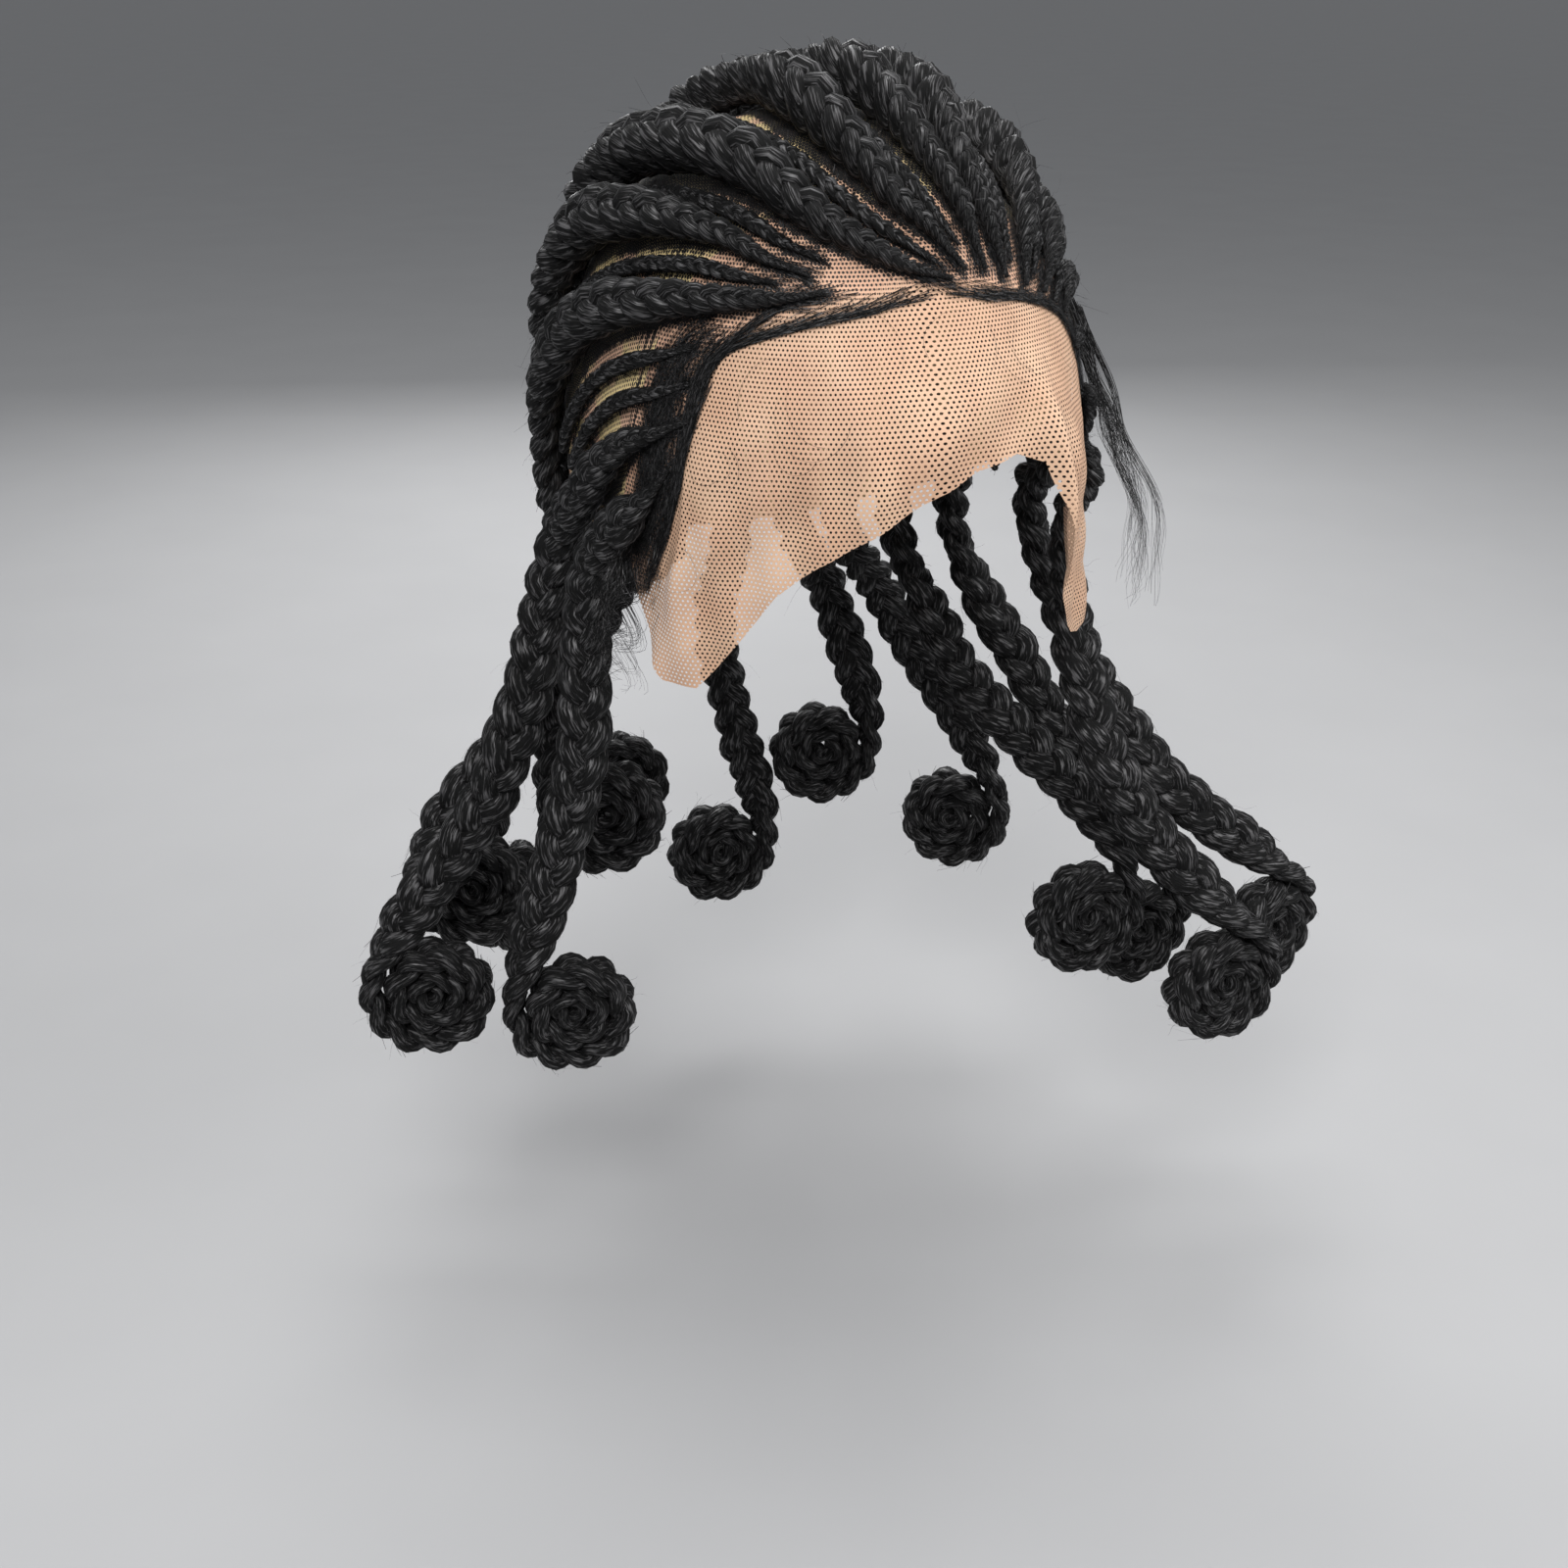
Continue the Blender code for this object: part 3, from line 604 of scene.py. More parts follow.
# %% [markdown]
# ## Plaiting three strands
#
# In a plait each strand swings from edge to edge, over on its way in and under on its way out. From
# the end that is a figure of eight: two swings in depth for each swing sideways, with the three
# strands a third of a turn apart. The length of a turn follows the width, as it does in the hand.
# Each lobe is a little uneven, because no two pulls are alike.

# %% The plait
TURN_SHARE = 1.95


def uneven(count, every, amount, rng):
    """Values around 1 that change smoothly, one new value for every few rings."""
    marks = rng.normal(1.0, amount, count // every + 3)
    return np.interp(np.arange(count) / every, np.arange(len(marks)), marks)


def plait(points, outward, wide, high, turn_share, sides, rings_per_turn, rng, first=0.0):
    """Rings and middle line of each of three plaited strands, the braid's own line and its lengths."""
    lengths = lengths_along(points)
    pace = np.pi / (turn_share * (wide[1:] + wide[:-1]) / 2)
    phase = np.concatenate([[0.0], np.cumsum(np.diff(lengths) * pace)])
    steps = np.arange(0, phase[-1], 2 * np.pi / rings_per_turn)
    where = np.interp(steps, phase, lengths)
    centre = read_at(where, lengths, points)
    tangents = unit(read_at(where + 0.002, lengths, points) - read_at(where - 0.002, lengths, points))
    normals = read_at(where, lengths, outward)
    normals = unit(normals - tangents * (normals * tangents).sum(1, keepdims=True))
    aside = np.cross(tangents, normals)
    half_wide = np.interp(where, lengths, wide)[:, None]
    half_high = np.interp(where, lengths, high)[:, None]
    strands = []
    for strand in range(3):
        swing = steps + first + 2 * np.pi * strand / 3
        over = (-np.sin(2 * swing))[:, None]
        pull = uneven(len(steps), rings_per_turn // 2, 0.07, rng)[:, None]
        middle = centre + aside * (half_wide * 0.50 * np.sin(swing)[:, None])
        middle = middle + normals * (half_high * 0.44 * over)
        forward = unit(np.gradient(middle, axis=0))
        up = unit(normals - forward * (normals * forward).sum(1, keepdims=True))
        across = np.cross(forward, up)
        fat = pull * (1 + 0.10 * over)
        turn = np.linspace(0, 2 * np.pi, sides, endpoint=False)[None, :, None]
        ridge = 1 + 0.045 * np.sin(3 * turn + np.cumsum(rng.normal(0, 0.25, len(steps)))[:, None, None])
        flat = (half_wide * 0.50 * fat)[:, None]
        thick = (half_high * 0.60 * fat)[:, None]
        rings = middle[:, None] + ridge * (
            across[:, None] * flat * np.cos(turn) + up[:, None] * thick * np.sin(turn))
        strands.append((rings, middle))
    return strands, centre, where


print("one turn of a hanging braid is", round(1000 * BRAID_WIDTH * TURN_SHARE), "mm")

# %% [markdown]
# ## Loose fibres on the braids
#
# Crimped fibre never lies flat. Short ends leave each lobe and catch the light, which gives a braid
# its soft, furry edge. A particle system makes no mesh that can be kept, so they are ribbons: some
# follow their strand and lift at the end, and some stand off freely.


# %% Fibres that follow a strand, and fibres that stray
LIFTED_WIDTHS = (0.00014, 0.00040)
STRAY_WIDTHS = (0.00007, 0.00012)


def lifted_fibres(strands, centre, share, rng):
    """Slivers that follow a strand over a few rings and run straight on where it dives under the next."""
    parts = []
    for rings, middle in strands:
        count = int(share * rings[..., 0].size)
        start = rng.integers(0, rings.shape[0] - 5, count)
        side = rng.integers(0, rings.shape[1], count)
        drift = rng.integers(-1, 2, count)
        ring = start[:, None] + np.array([0, 2, 4])
        at = rings[ring, (side[:, None] + drift[:, None] * np.array([0, 0, 1])) % rings.shape[1]]
        out = unit(at - middle[ring])
        size = np.linalg.norm(at - middle[ring], axis=2).mean(axis=1)[:, None]
        lines = at + out * (np.array([0.01, 0.05, 0.10]) * size)[..., None]
        run_on = (lines[:, 2] - lines[:, 1]) * rng.uniform(0.3, 1.3, (count, 1))
        away = unit(lines[:, 2] - centre[ring[:, 2]])
        run_on -= away * (run_on * away).sum(1, keepdims=True).clip(0) * 0.9
        tip = lines[:, 2] + run_on + out[:, 2] * size * rng.uniform(0.0, 0.15, (count, 1))
        lines = np.concatenate([lines, tip[:, None]], axis=1)
        facing = np.concatenate([out, out[:, 2:]], axis=1)
        parts.append(ribbons(lines, facing, rng.uniform(*LIFTED_WIDTHS, count), rng))
    return parts


def stray_fibres(strands, share, longest, rng):
    """Fibres that leave the braid freely in soft curls and stay close to it."""
    parts = []
    steps = np.linspace(0, 1, 7)[None, :, None]
    for rings, middle in strands:
        count = int(share * rings[..., 0].size)
        start = rng.integers(1, rings.shape[0] - 1, count)
        side = rng.integers(0, rings.shape[1], count)
        root = rings[start, side]
        out = unit(root - middle[start])
        forward = unit(middle[start] - middle[start - 1])
        length = (longest * rng.uniform(0.2, 1.0, count) ** 2.2)[:, None, None]
        aim = out * rng.uniform(0.10, 0.60, (count, 1)) + forward * 0.8
        aim = unit(aim + rng.normal(0, 0.40, (count, 3)))
        bend = unit(np.cross(aim, rng.normal(0, 1, (count, 3))))
        curve = rng.normal(0, 0.8, (count, 1, 1))
        wave = rng.uniform(0.05, 0.16, (count, 1, 1))
        ripple = wave * np.sin(steps * rng.uniform(4, 11, (count, 1, 1)))
        path = aim[:, None] * steps + bend[:, None] * (curve * steps ** 2 + ripple)
        lines = root[:, None] + length * path
        lines[..., 2] -= 0.10 * length[..., 0] * steps[..., 0] ** 2
        parts.append(ribbons(lines, out[:, None], rng.uniform(*STRAY_WIDTHS, count), rng))
    return parts


print("a stray fibre is up to", round(1000 * STRAY_WIDTHS[1], 2), "mm wide")

# %% [markdown]
# ## Braids and buns
#
# Each braid is plaited once along its whole line and then parted where the coil begins, so the
# braid and its bun stay two pieces, as in the solids that they stand for.

# %% Plait every braid and coil
TWIST = 1.1


def dress(strands, centre, where, number, girth, fibres, rng):
    """Tubes for three strands, with the fibres that lift and stray from them."""
    lifted, stray, longest = fibres
    parts = [tube(rings, girth, where * TWIST + 0.3 * order + number)
             for order, (rings, _) in enumerate(strands)]
    return parts + lifted_fibres(strands, centre, lifted, rng) + stray_fibres(strands, stray, longest, rng)


total = 0
for number, name in enumerate(ROW_NAMES):
    rng = np.random.default_rng(100 + number)
    *line, entry = braid_line(name)
    strands, centre, where = plait(*line, TURN_SHARE, 12, 20, rng, first=rng.uniform(0, 2 * np.pi))
    split = int(np.searchsorted(where, entry))
    for node, low, top in (("braid_" + name, 0, split + 1), ("bun_" + name, split, len(where))):
        part_strands = [(rings[low:top], middle[low:top]) for rings, middle in strands]
        parts = dress(part_strands, centre[low:top], where[low:top], number, 0.024, (0.13, 0.032, 0.008), rng)
        total += triangles(hair_piece(node + "_hair", parts, node))
print("braids and buns hold", total, "triangles")

# %% [markdown]
# ## Thin rows
#
# Between the thick rows run slim plaits that never leave the cap. They share the strips that the
# thick rows leave free, so they narrow where a strip does.


# %% Plait the thin rows
def thin_line(first, second, first_half, second_half, across, share):
    """Points and half widths of a thin row in the strip between two thick ones."""
    apart = distances(first[2], second[2])
    opposite = apart.argmin(axis=1)
    apart = apart.min(axis=1)
    aside = (second[2][opposite] - first[2]) / apart[:, None]
    strip = apart - first_half - second_half[opposite] - 2 * ROW_GAP
    room = np.minimum(THIN_WIDTH, strip * share) / 2
    start = np.nonzero(room > THIN_LEAST_SHARE * THIN_WIDTH / 2)[0][0]
    middle = first[2] + aside * (first_half + ROW_GAP + strip * across)[:, None]
    return block(*place_of(middle[start:])), room[start:]


THIN_TURN_SHARE = 2.4
thin_lines, thin_halves = [], []
total = 0
for number, (name, across, share) in enumerate(THIN_ROWS, 1):
    rng = np.random.default_rng(300 + number)
    index = ROW_NAMES.index(name)
    surface, half = thin_line(*row_lines[index:index + 2], *row_halves[index:index + 2], across, share)
    lengths = lengths_along(surface)
    even = np.linspace(0, lengths[-1], int(lengths[-1] / 0.004))
    thin_lines.append(row_line(read_at(even, lengths, surface)[::3]))
    around, down, surface = thin_lines[-1]
    half = np.interp(lengths_along(surface), lengths, half)
    thin_halves.append(half)
    half = picked_up(half, surface)
    high = half * THIN_HEIGHT / THIN_WIDTH
    points = on_block(around, down, CAP_WALL + ROW_SEAT * 0.6 + high)
    strands, centre, where = plait(
        points, block_normal(around, down), half * 1.06, high * 1.1, THIN_TURN_SHARE, 6, 12, rng)
    parts = dress(strands, centre, where, number, 0.008, (0.12, 0.03, 0.005), rng)
    node = f"thin_row_{number:02d}"
    total += triangles(hair_piece(node + "_hair", parts, node))
print("thin rows hold", total, "triangles")

# %% [markdown]
# ## Net with a hair knot in every mesh
#
# Both cloths are hexagonal net. Its holes sit on two grids shifted by half a mesh, so the distance
# to the nearest hole is the smaller of two distances. The hair is knotted round the threads between
# two holes, so the knots sit on the same grids moved by half a mesh, and show as black dots. Beside
# a row the knots are fuller, because all their hair is drawn over to it, and there they also grow
# into painted shade where the row shades the net.


# %% Distance to the nearest hole
NET_PITCH = 0.0015


def hole_distance(across, along, moved=0.0):
    """0 in the middle of a hole and about 0.58 where three threads meet, in pitches."""
    found = []
    for shift in (0.0, 0.5):
        aside = (across / NET_PITCH + (shift + moved)).fract() - 0.5
        ahead = (along / (NET_PITCH * math.sqrt(3)) + shift).fract() - 0.5
        found.append((aside * aside + ahead * ahead * 3.0).root())
    return found[0].least(found[1])


all_lines = np.vstack([line[2] for line in row_lines + thin_lines])
all_ahead = np.vstack([unit(np.gradient(line[2], axis=0)) for line in row_lines + thin_lines])
all_halves = np.concatenate(row_halves + thin_halves)


def beside_rows(points):
    """How far each point lies from the edge of the nearest row."""
    return np.concatenate([
        (distances(part, all_lines) - all_halves).min(axis=1)
        for part in np.array_split(points, max(1, len(points) // 500))])


print("the net has", round(0.01 / NET_PITCH, 1), "holes to a centimetre")

# %% Edges of the cap and the lace
FRONT_EDGES = np.array((
    # round, down at the seam with the cap net, down at the free hem
    (-73, 97, 103), (-69, 84, 114), (-64, 66, 121), (-57, 54, 126), (-49, 49, 126), (-40, 44, 117),
    (-31, 42, 107), (-22, 41, 101), (-12, 40, 96), (-3, 40, 91), (6, 40, 87), (15, 40, 85),
    (21, 41, 87), (25, 41, 99), (29, 42, 110), (36, 43, 118), (43, 46, 124), (50, 50, 126),
    (57, 54, 124), (64, 66, 119), (69, 84, 113), (73, 97, 103),
), float)
BACK_RIM = np.array((
    (82, 100), (93, 103), (105, 109), (118, 115), (132, 119), (147, 122), (163, 124), (180, 125),
), float)
HAIRLINE = np.array((
    (-66, 112), (-59, 95), (-54, 80), (-52, 70), (-40, 63), (-21, 59), (0, 56),
    (15, 57), (30, 60), (50, 68), (54, 80), (59, 95), (66, 112),
), float)
CAP_EDGE = np.vstack([BACK_RIM[::-1] * (-1, 1), FRONT_EDGES[:, :2], BACK_RIM])


def hair_line(around):
    return np.interp(around, *HAIRLINE.T)


print("the lace hangs lowest at", int(FRONT_EDGES[:, 2].max()), "degrees from the crown")


# %% A sheet from a grid
def points_of(sheet):
    found = np.zeros(len(sheet.data.vertices) * 3)
    sheet.data.vertices.foreach_get("co", found)
    return found.reshape(-1, 3)


def sheet_from_grid(name, columns, rows, place):
    """Adds a flat grid and moves its points onto the form. place takes two shares and gives points."""
    bpy.ops.object.select_all(action="DESELECT")
    bpy.ops.mesh.primitive_grid_add(x_subdivisions=columns, y_subdivisions=rows, size=1)
    sheet = bpy.context.object
    sheet.name = name
    across, along, _ = points_of(sheet).T + 0.5
    sheet.data.vertices.foreach_set("co", place(across, along).ravel())
    bpy.ops.object.mode_set(mode="EDIT")
    bpy.ops.mesh.select_all(action="SELECT")
    bpy.ops.mesh.remove_doubles(threshold=0.0001)
    bpy.ops.mesh.normals_make_consistent(inside=False)
    bpy.ops.object.mode_set(mode="OBJECT")
    bpy.ops.object.shade_smooth()
    return sheet


def set_map(sheet, name, first, second):
    """Writes a UV map from two values for each point of the mesh."""
    layer = sheet.data.uv_layers.get(name) or sheet.data.uv_layers.new(name=name)
    corners = np.zeros(len(sheet.data.loops), np.int32)
    sheet.data.loops.foreach_get("vertex_index", corners)
    layer.uv.foreach_set("vector", np.stack([first, second], -1)[corners].astype(np.float32).ravel())


def join_wig(sheet, node):
    """Maps how close the rows are, gives the cloth its place in the wig and measures its surface."""
    close = beside_rows(points_of(sheet))
    set_map(sheet, "Rows", close, close)
    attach(sheet, "root")
    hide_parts(node)
    return sum(face.area for face in sheet.data.polygons)


print("sheet helpers ready")

# %% [markdown]
# ## The cap net
#
# The cap is a stretchy net hood. Between the rows it shows as a tan ground with black knots, in
# places yellower. A wall would show a thick rim that real net doesn't have, so it is one layer: a
# flat grid wrapped over the block and closed at the crown and the back.

# %% Shape the cap
CAP_LIFT = 0.0005


def cap_place(across, along):
    around = across * 360 - 180
    down = np.interp(around, *CAP_EDGE.T) * along
    return on_block(around, down, CAP_LIFT)


cap = sheet_from_grid("cap_net_cloth", 170, 52, cap_place)
around, down = place_of(points_of(cap))
reach = np.radians(down) * CROWN_HEIGHT
set_map(cap, "UVMap", reach * np.sin(np.radians(around)), -reach * np.cos(np.radians(around)))
cap_area = join_wig(cap, "cap_net")
print("the cap takes", round(cap_area * 1e4), "square centimetres of net")

# %% The cap's finish
KNOT_BLACK = (0.005, 0.004, 0.004)


def drawn_over_and_shaded(finish, across, along):
    """1 beside and under a row, where the hair is drawn over to it and painted shade falls, and the noise
    that frays its edge.
    """
    cloud = finish.noise(across * 240, along * 240, 8.0)
    close, _ = finish.surface_map("Rows")
    return 1 - (close + (cloud - 0.5) * 0.0040).rise(-0.0015, 0.0009), cloud


def knots(finish, across, along, fullness_and_shade):
    """Black dots on the threads of a net, larger where the fullness is higher; beside the rows they grow into
    painted shade.
    """
    speck = finish.noise(across * 900, along * 900, 5.0)
    away = hole_distance(across + (speck - 0.5) * (NET_PITCH * 0.5), along, 0.5)
    return 1 - (away - fullness_and_shade * 0.26).rise(0.24, 0.34)


net = Finish("cap_net_finish", Roughness=0.85)
across, along = net.surface_map()
drawn_and_shaded, _ = drawn_over_and_shaded(net, across, along)
holes = hole_distance(across, along).rise(0.20, 0.32)
patch = net.noise(across * 55, along * 55, 2.0)
ground = net.blend(patch.rise(0.42, 0.54), (0.72, 0.42, 0.29), (0.70, 0.55, 0.25))
ground = net.blend(holes * 0.25, ground, (0.90, 0.68, 0.46))
# Beside the rows the knots grow together into painted shade.
knot = knots(net, across, along, drawn_and_shaded + (0.48 - patch) * 0.9)
net.drive("Base Color", net.blend(knot, ground, KNOT_BLACK))
net.relief(0.6, 0.0003, holes + knot)
cap.data.materials.append(net.material)
print("cap finish has", len(net.tree.nodes), "nodes")

# %% [markdown]
# ## The front lace
#
# The lace is laid over the cap's front edge, lies close as far as the hairline and hangs free below
# it, in soft ripples and one sharp fold. It is see-through, so it is one thin layer with real holes
# in its finish. Only the hair side of the hairline has knots.

# %% Shape the lace
LACE_REST = 0.0008
SEAM_OVERLAP = 1.2
LACE_DRAPE = 0.0040
LACE_RIPPLE = 0.0020
LACE_FOLD = 0.0060


def lace_lift(around, down):
    beyond = down - hair_line(around)
    free = ease((beyond - 6) / 26)
    ripple = LACE_RIPPLE * np.sin(np.radians(around * 9 + down * 2))
    crease = 0.0007 * np.sin(np.radians(around * 31 - down * 7))
    crease += 0.0005 * np.sin(np.radians(around * 17 + down * 23))
    fold = LACE_FOLD * np.exp(-((around - 25) / 3.0) ** 2)
    return free * (LACE_DRAPE + ripple + fold + crease)


def lace_place(across, along):
    column = across * (len(FRONT_EDGES) - 1)
    around, seam, hem = read_at(column, np.arange(len(FRONT_EDGES)), FRONT_EDGES).T
    down = seam - SEAM_OVERLAP + (hem - seam + SEAM_OVERLAP) * along
    return on_block(around, down, lace_lift(around, down) + LACE_REST)


lace = sheet_from_grid("front_lace_cloth", 210, 90, lace_place)
around, down = place_of(points_of(lace))
set_map(lace, "UVMap", np.radians(around) * HEAD_MEAN_RADIUS, np.radians(down) * CROWN_HEIGHT)
set_map(lace, "Hairline", (down - hair_line(around)) * 0.01, around * 0.01)
lace_area = join_wig(lace, "front_lace")
print("the lace takes", round(lace_area * 1e4), "square centimetres")

# %% The lace's finish
sheer = Finish("front_lace_finish", Roughness=0.70)
across, along = sheer.surface_map()
beyond, _ = sheer.surface_map("Hairline")
drawn_and_shaded, cloud = drawn_over_and_shaded(sheer, across, along)
threads = hole_distance(across, along).rise(0.20, 0.27)
patch = sheer.noise(across * 45, along * 45, 9.0)
haired = 1 - (beyond + (cloud - 0.5) * 0.05).rise(-0.028, 0.004)
# Beside the rows the knots grow together into painted shade.
knot = knots(sheer, across, along, drawn_and_shaded + haired * 0.65 - 0.65) * haired.rise(0.02, 0.30)
ground = sheer.blend(patch.rise(0.35, 0.65), (0.54, 0.33, 0.215), (0.60, 0.39, 0.26))
ground = sheer.blend(haired * 0.6, ground, (0.70, 0.41, 0.28))
sheer.drive("Base Color", sheer.blend(knot, ground, KNOT_BLACK))
sheer.drive("Alpha", threads.most(haired * 0.85).most(knot))
sheer.relief(0.5, 0.0002, threads)
lace.data.materials.append(sheer.material)
print("lace finish has", len(sheer.tree.nodes), "nodes")

# %% [markdown]
# ## Hair laid along the hairline
#
# The shortest hairs can't be plaited. They are combed along the hairline to the sideburns, in a thin
# dark band that widens over the temples. Each hair follows the band's line at its own distance,
# starts and ends where it likes, and waves a little.

# %% Bands of laid hair
HAIR_WIDTHS = (0.00012, 0.00022)
LAID_STEPS = 14
LAID_BANDS = (
    # marks, half width of the band and of the fan that joins it in metres, latest start, how many hairs
    (((4, 57.5), (-13, 60), (-26, 62), (-37.5, 64.5), (-45.5, 67.5), (-50, 73)), 0.0006, 0.0055, 0.80, 170),
    (((-12, 56), (-22, 57.5), (-31, 59), (-42, 64.5), (-50, 71), (-54, 80)), 0.0005, 0.0035, 0.70, 90),
    (((-40, 65), (-46, 68), (-50, 75), (-54, 88), (-61, 103), (-66, 112)), 0.0012, 0.0060, 0.60, 420),
    (((-44, 63), (-53, 67), (-59, 76), (-62, 90), (-66, 102), (-70, 112)), 0.0036, 0.0060, 0.70, 620),
    (((4, 57), (14, 58.5), (24, 59.5), (34, 61.5), (45, 66), (52, 74)), 0.0008, 0.0040, 0.80, 200),
    (((42, 64), (51, 69), (54, 78), (59, 94), (66, 111)), 0.0014, 0.0060, 0.60, 400),
    (((46, 62), (56, 67), (60, 76), (63, 92), (70, 111)), 0.0036, 0.0060, 0.70, 480),
)


def hairs_over(around, down, lift, widths, rng):
    """Flat hairs that follow places on the block at a height above it."""
    return ribbons(on_block(around, down, lift), block_normal(around, down), widths, rng)


def laid_hairs(marks, band, fan, latest, count, rng):
    """Hairs that start spread out on the crown's side of a line and are combed together along it."""
    line = smooth_path(marked(marks))
    lengths = lengths_along(line)
    start = rng.uniform(0, latest, count)
    end = np.minimum(start + rng.uniform(0.20, 0.60, count), 1.0)
    progress = np.linspace(0, 1, LAID_STEPS)[None]
    share = start[:, None] + (end - start)[:, None] * progress
    along = read_at(share * lengths[-1], lengths, line)
    ahead = read_at(share * lengths[-1], lengths, unit(np.gradient(line, axis=0)))
    crownward = unit(np.cross(ahead, block_normal(*place_of(along))))
    crownward *= np.sign(crownward[:, :1, 2:])
    off = band * rng.normal(0, 1, (count, 1)).clip(-1.4, 1.4)
    off = off + fan * rng.random((count, 1)) ** 2 * (1 - progress) ** 2
    off = off + band * 0.5 * np.sin(share * rng.uniform(8, 25, (count, 1)) + rng.uniform(0, 6, (count, 1)))
    around, down = place_of(along + crownward * off[..., None])
    lift = LACE_WALL + 0.0002 + rng.uniform(0, 0.0011, (count, 1)) * np.sin(np.pi * progress) ** 0.5
    return hairs_over(around, down, lift + lace_lift(around, down), rng.uniform(*HAIR_WIDTHS, count), rng)


rng = np.random.default_rng(41)
laid = hair_piece("laid_edge_hair", [laid_hairs(*band, rng) for band in LAID_BANDS])
print("laid hair holds", triangles(laid), "triangles")

# %% [markdown]
# ## Roots
#
# The knots beside a row send short hairs onto it, and at the hairline a small fan of hair is drawn
# into the head of each row. These roots hide where a row meets the net.


# %% Hairs drawn into the rows
def fan_into(around, down, surface, count, length, spread, rng):
    """Hairs that start spread out ahead of a row's head and run together along its first part."""
    lengths = lengths_along(surface)
    share = np.linspace(0, 1, 7)
    reach = length * rng.uniform(0.5, 1.0, (count, 1))
    where = rng.uniform(-0.004, 0.006, (count, 1)) + reach * share
    heading = unit(surface[2] - surface[0])
    along = read_at(np.clip(where, 0, None), lengths, surface) + heading * np.minimum(where, 0)[..., None]
    aside = unit(np.cross(heading, block_normal(around[0], down[0])))
    off = rng.normal(0, spread, (count, 1)) * (1 - share) ** 1.5 + rng.normal(0, spread * 0.25, (count, 1))
    around, down = place_of(along + aside * off[..., None])
    lift = LACE_WALL + 0.0004 + rng.uniform(0, 0.0018, (count, 1)) * share ** 0.7
    return hairs_over(around, down, lift, rng.uniform(*HAIR_WIDTHS, count), rng)


rng = np.random.default_rng(57)
fans = [fan_into(*line, 70, 0.030, 0.0019, rng) for line in row_lines]
fans += [fan_into(*line, 36, 0.018, 0.0014, rng) for line in thin_lines]
print(len(fans), "fans of hair")

# %% Hairs drawn across the net to the rows
def drawn_hairs(count, rng):
    """Short hairs that leave a knot beside a row and run slantwise up onto it."""
    mark = rng.integers(2, len(all_lines) - 2, count)
    aside = unit(np.cross(all_ahead[mark], block_normal(*place_of(all_lines[mark]))))
    aside *= rng.choice([-1.0, 1.0], (count, 1))
    reach = all_halves[mark] + rng.uniform(0.0002, 0.0028, count) * rng.random(count)
    root = all_lines[mark] + aside * reach[:, None]
    target = all_lines[mark] + aside * (all_halves[mark] * 0.75)[:, None]
    target += all_ahead[mark] * rng.uniform(0.001, 0.005, (count, 1))
    progress = np.linspace(0, 1, 4)[None, :, None]
    around, down = place_of(root[:, None] * (1 - progress) + target[:, None] * progress)
    lift = CAP_WALL + 0.0003 + rng.uniform(0.0004, 0.0016, (count, 1)) * progress[..., 0] ** 2
    widths = rng.uniform(0.00012, 0.00024, count)
    shown = place_of(root)[1] < 112
    return hairs_over(around[shown], down[shown], lift[shown], widths[shown], rng)


fans.append(drawn_hairs(6500, rng))
roots = hair_piece("root_hair", fans)
print("roots hold", triangles(roots), "triangles")

# %% [markdown]
# ## Loose wisps
#
# A soft lock hangs free at the left temple, short curls cross the lace, and frizz stands off the
# sideburns. Each hair is one ribbon with waves in it.


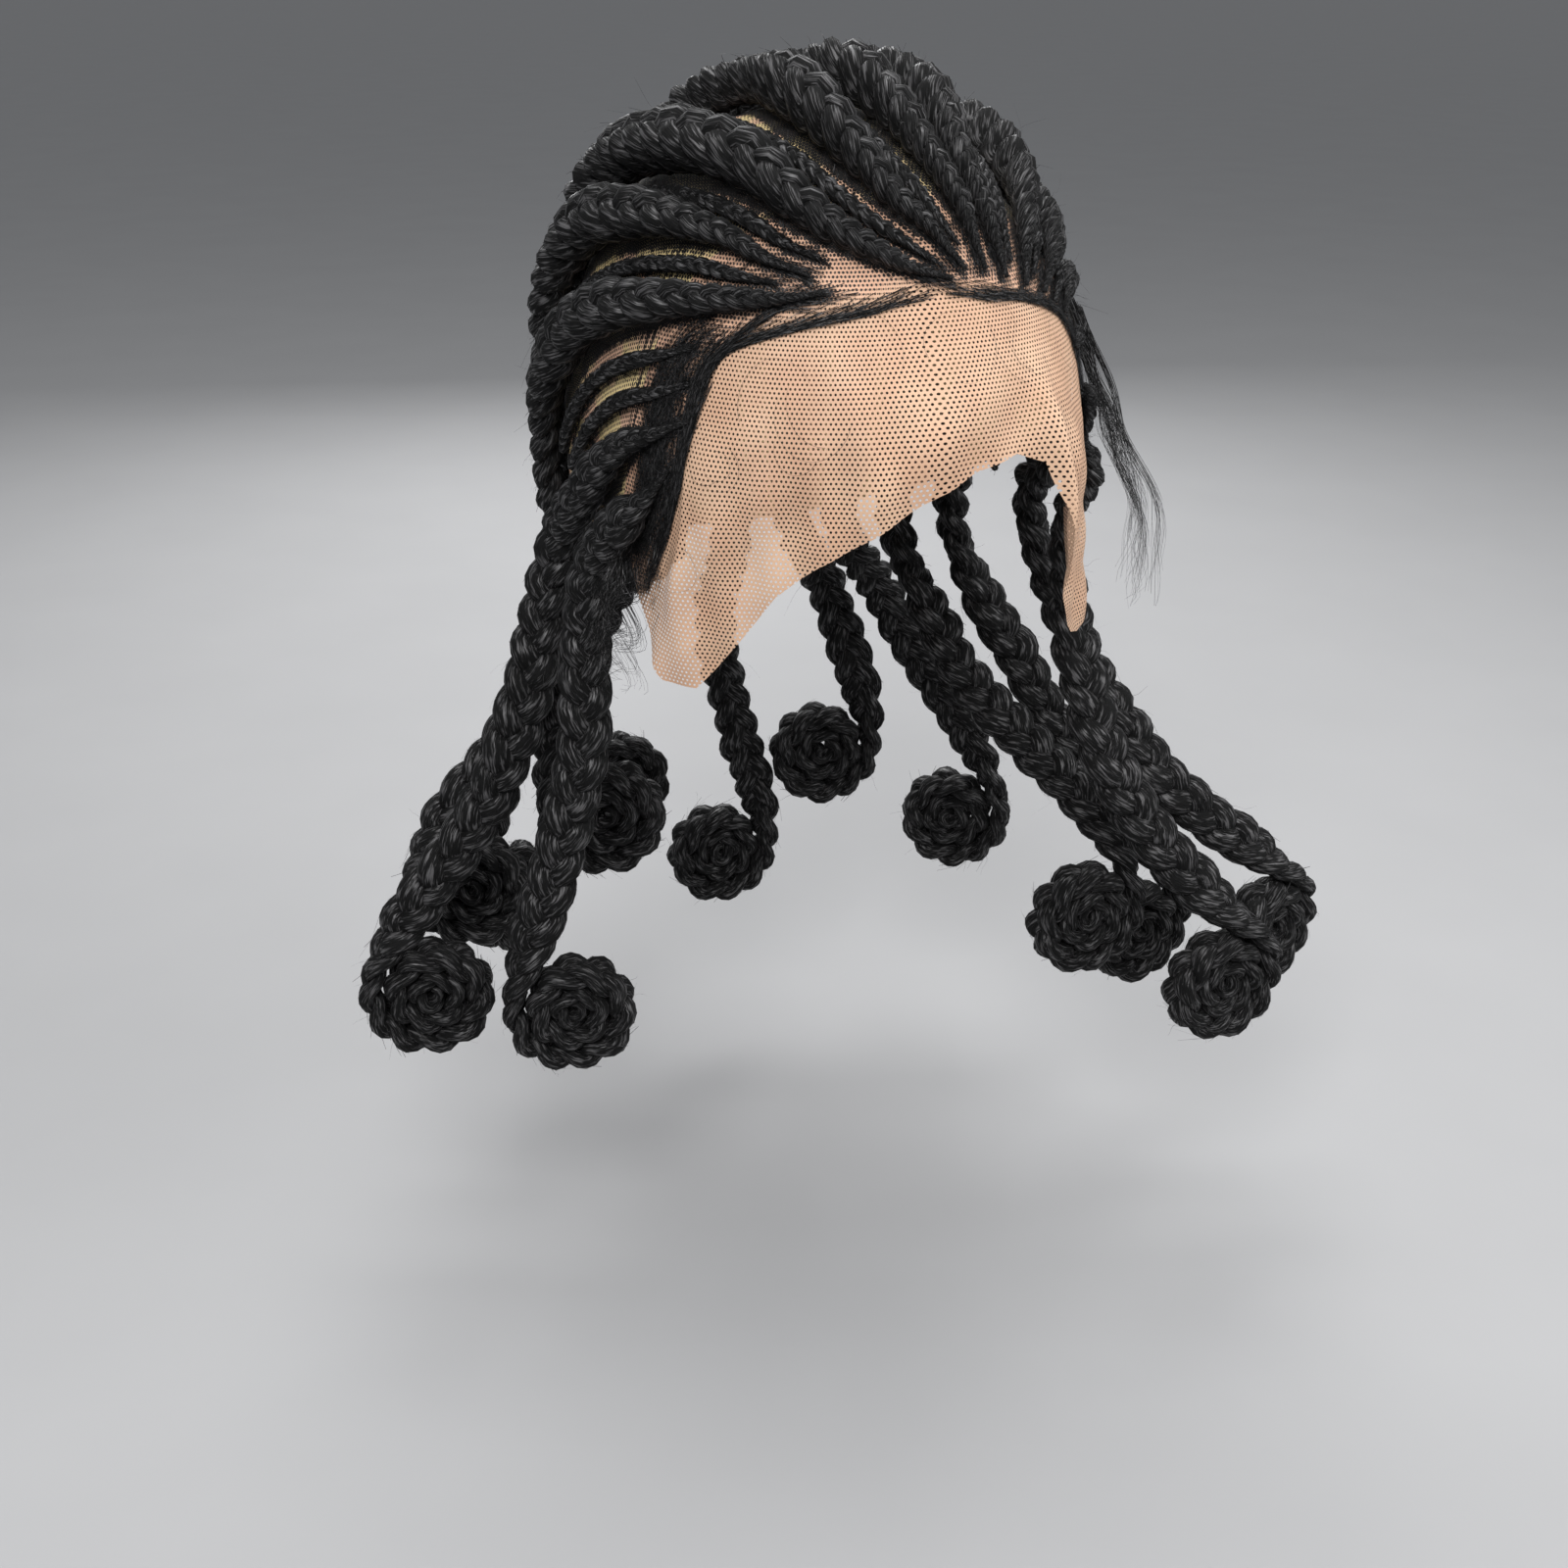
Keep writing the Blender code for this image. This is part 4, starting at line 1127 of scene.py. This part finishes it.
# %% Free hairs
def hanging_wisps(marks, count, start_spread, end_spread, wave, rng, steps=22, clumps=7):
    """Wavy hairs down a line of marks, close at the top and parted into clumps at the bottom."""
    line = smooth_path(marks)
    lengths = lengths_along(line)
    share = np.linspace(0, 1, steps)[None]
    travel = rng.uniform(0.50, 1.0, (count, 1)) * share
    clump = rng.integers(0, clumps, count)
    clump_off, clump_phase = rng.normal(0, 1, (clumps, 1, 3)), rng.uniform(0, 6.28, (clumps, 1, 3))
    clump_pace = rng.uniform(14, 24, (clumps, 1, 1))
    spread = (start_spread + (end_spread - start_spread) * travel)[..., None]
    off = (clump_off[clump] + rng.normal(0, 0.30, (count, 1, 3))) * spread
    pace = clump_pace[clump] * rng.uniform(0.9, 1.1, (count, 1, 1))
    ripple = wave * np.sin(travel[..., None] * pace + clump_phase[clump])
    lines = read_at(travel * lengths[-1], lengths, line) + off
    lines = lines + ripple * np.minimum(share[..., None] * 3, 1)
    return ribbons(lines, np.array([-0.35, -0.9, 0.2]), rng.uniform(0.00010, 0.00018, count), rng)


def curls(middles, radius, count, rng, steps=12):
    """Loose arcs of hair that lie just off the lace near the given places."""
    around, down = np.asarray(middles, float)[rng.integers(0, len(middles), count)].T
    around = around + rng.normal(0, 3.0, count)
    down = down + rng.normal(0, 2.0, count)
    size = radius * rng.uniform(0.5, 1.3, (count, 1))
    turn = rng.uniform(0, 6.28, (count, 1)) + rng.uniform(1.8, 4.2, (count, 1)) * np.linspace(0, 1, steps)
    around = around[:, None] + np.degrees(size * np.cos(turn) / HEAD_MEAN_RADIUS)
    down = down[:, None] + np.degrees(size * np.sin(turn) / CROWN_HEIGHT)
    lift = LACE_WALL + 0.0006 + rng.uniform(0, 0.0015, (count, 1)) + lace_lift(around, down)
    return hairs_over(around, down, lift, np.full(count, 0.00010), rng)


rng = np.random.default_rng(73)
left_lock = (
    (0.0755, -0.026, -0.060), (0.0795, -0.034, -0.078), (0.084, -0.042, -0.098),
    (0.087, -0.055, -0.118), (0.087, -0.060, -0.134), (0.086, -0.056, -0.152))
right_frizz = ((-0.079, -0.046, -0.118), (-0.083, -0.046, -0.136), (-0.084, -0.040, -0.156))
wisps = [
    hanging_wisps(left_lock, 170, 0.0018, 0.0046, 0.0016, rng),
    hanging_wisps(right_frizz, 110, 0.0030, 0.0060, 0.0022, rng),
    curls(((-30, 70), (-15, 68), (5, 66), (22, 68), (38, 70), (-20, 78)), 0.010, 16, rng, steps=24),
    curls(((-44, 84), (-50, 100), (46, 82)), 0.006, 14, rng, steps=18),
    curls(((-62, 78), (-64, 90), (-66, 100), (-58, 70)), 0.0045, 170, rng),
    curls(((62, 78), (64, 92), (60, 70)), 0.0045, 120, rng),
]
loose = hair_piece("loose_wisps", wisps)
print("wisps hold", triangles(loose), "triangles")
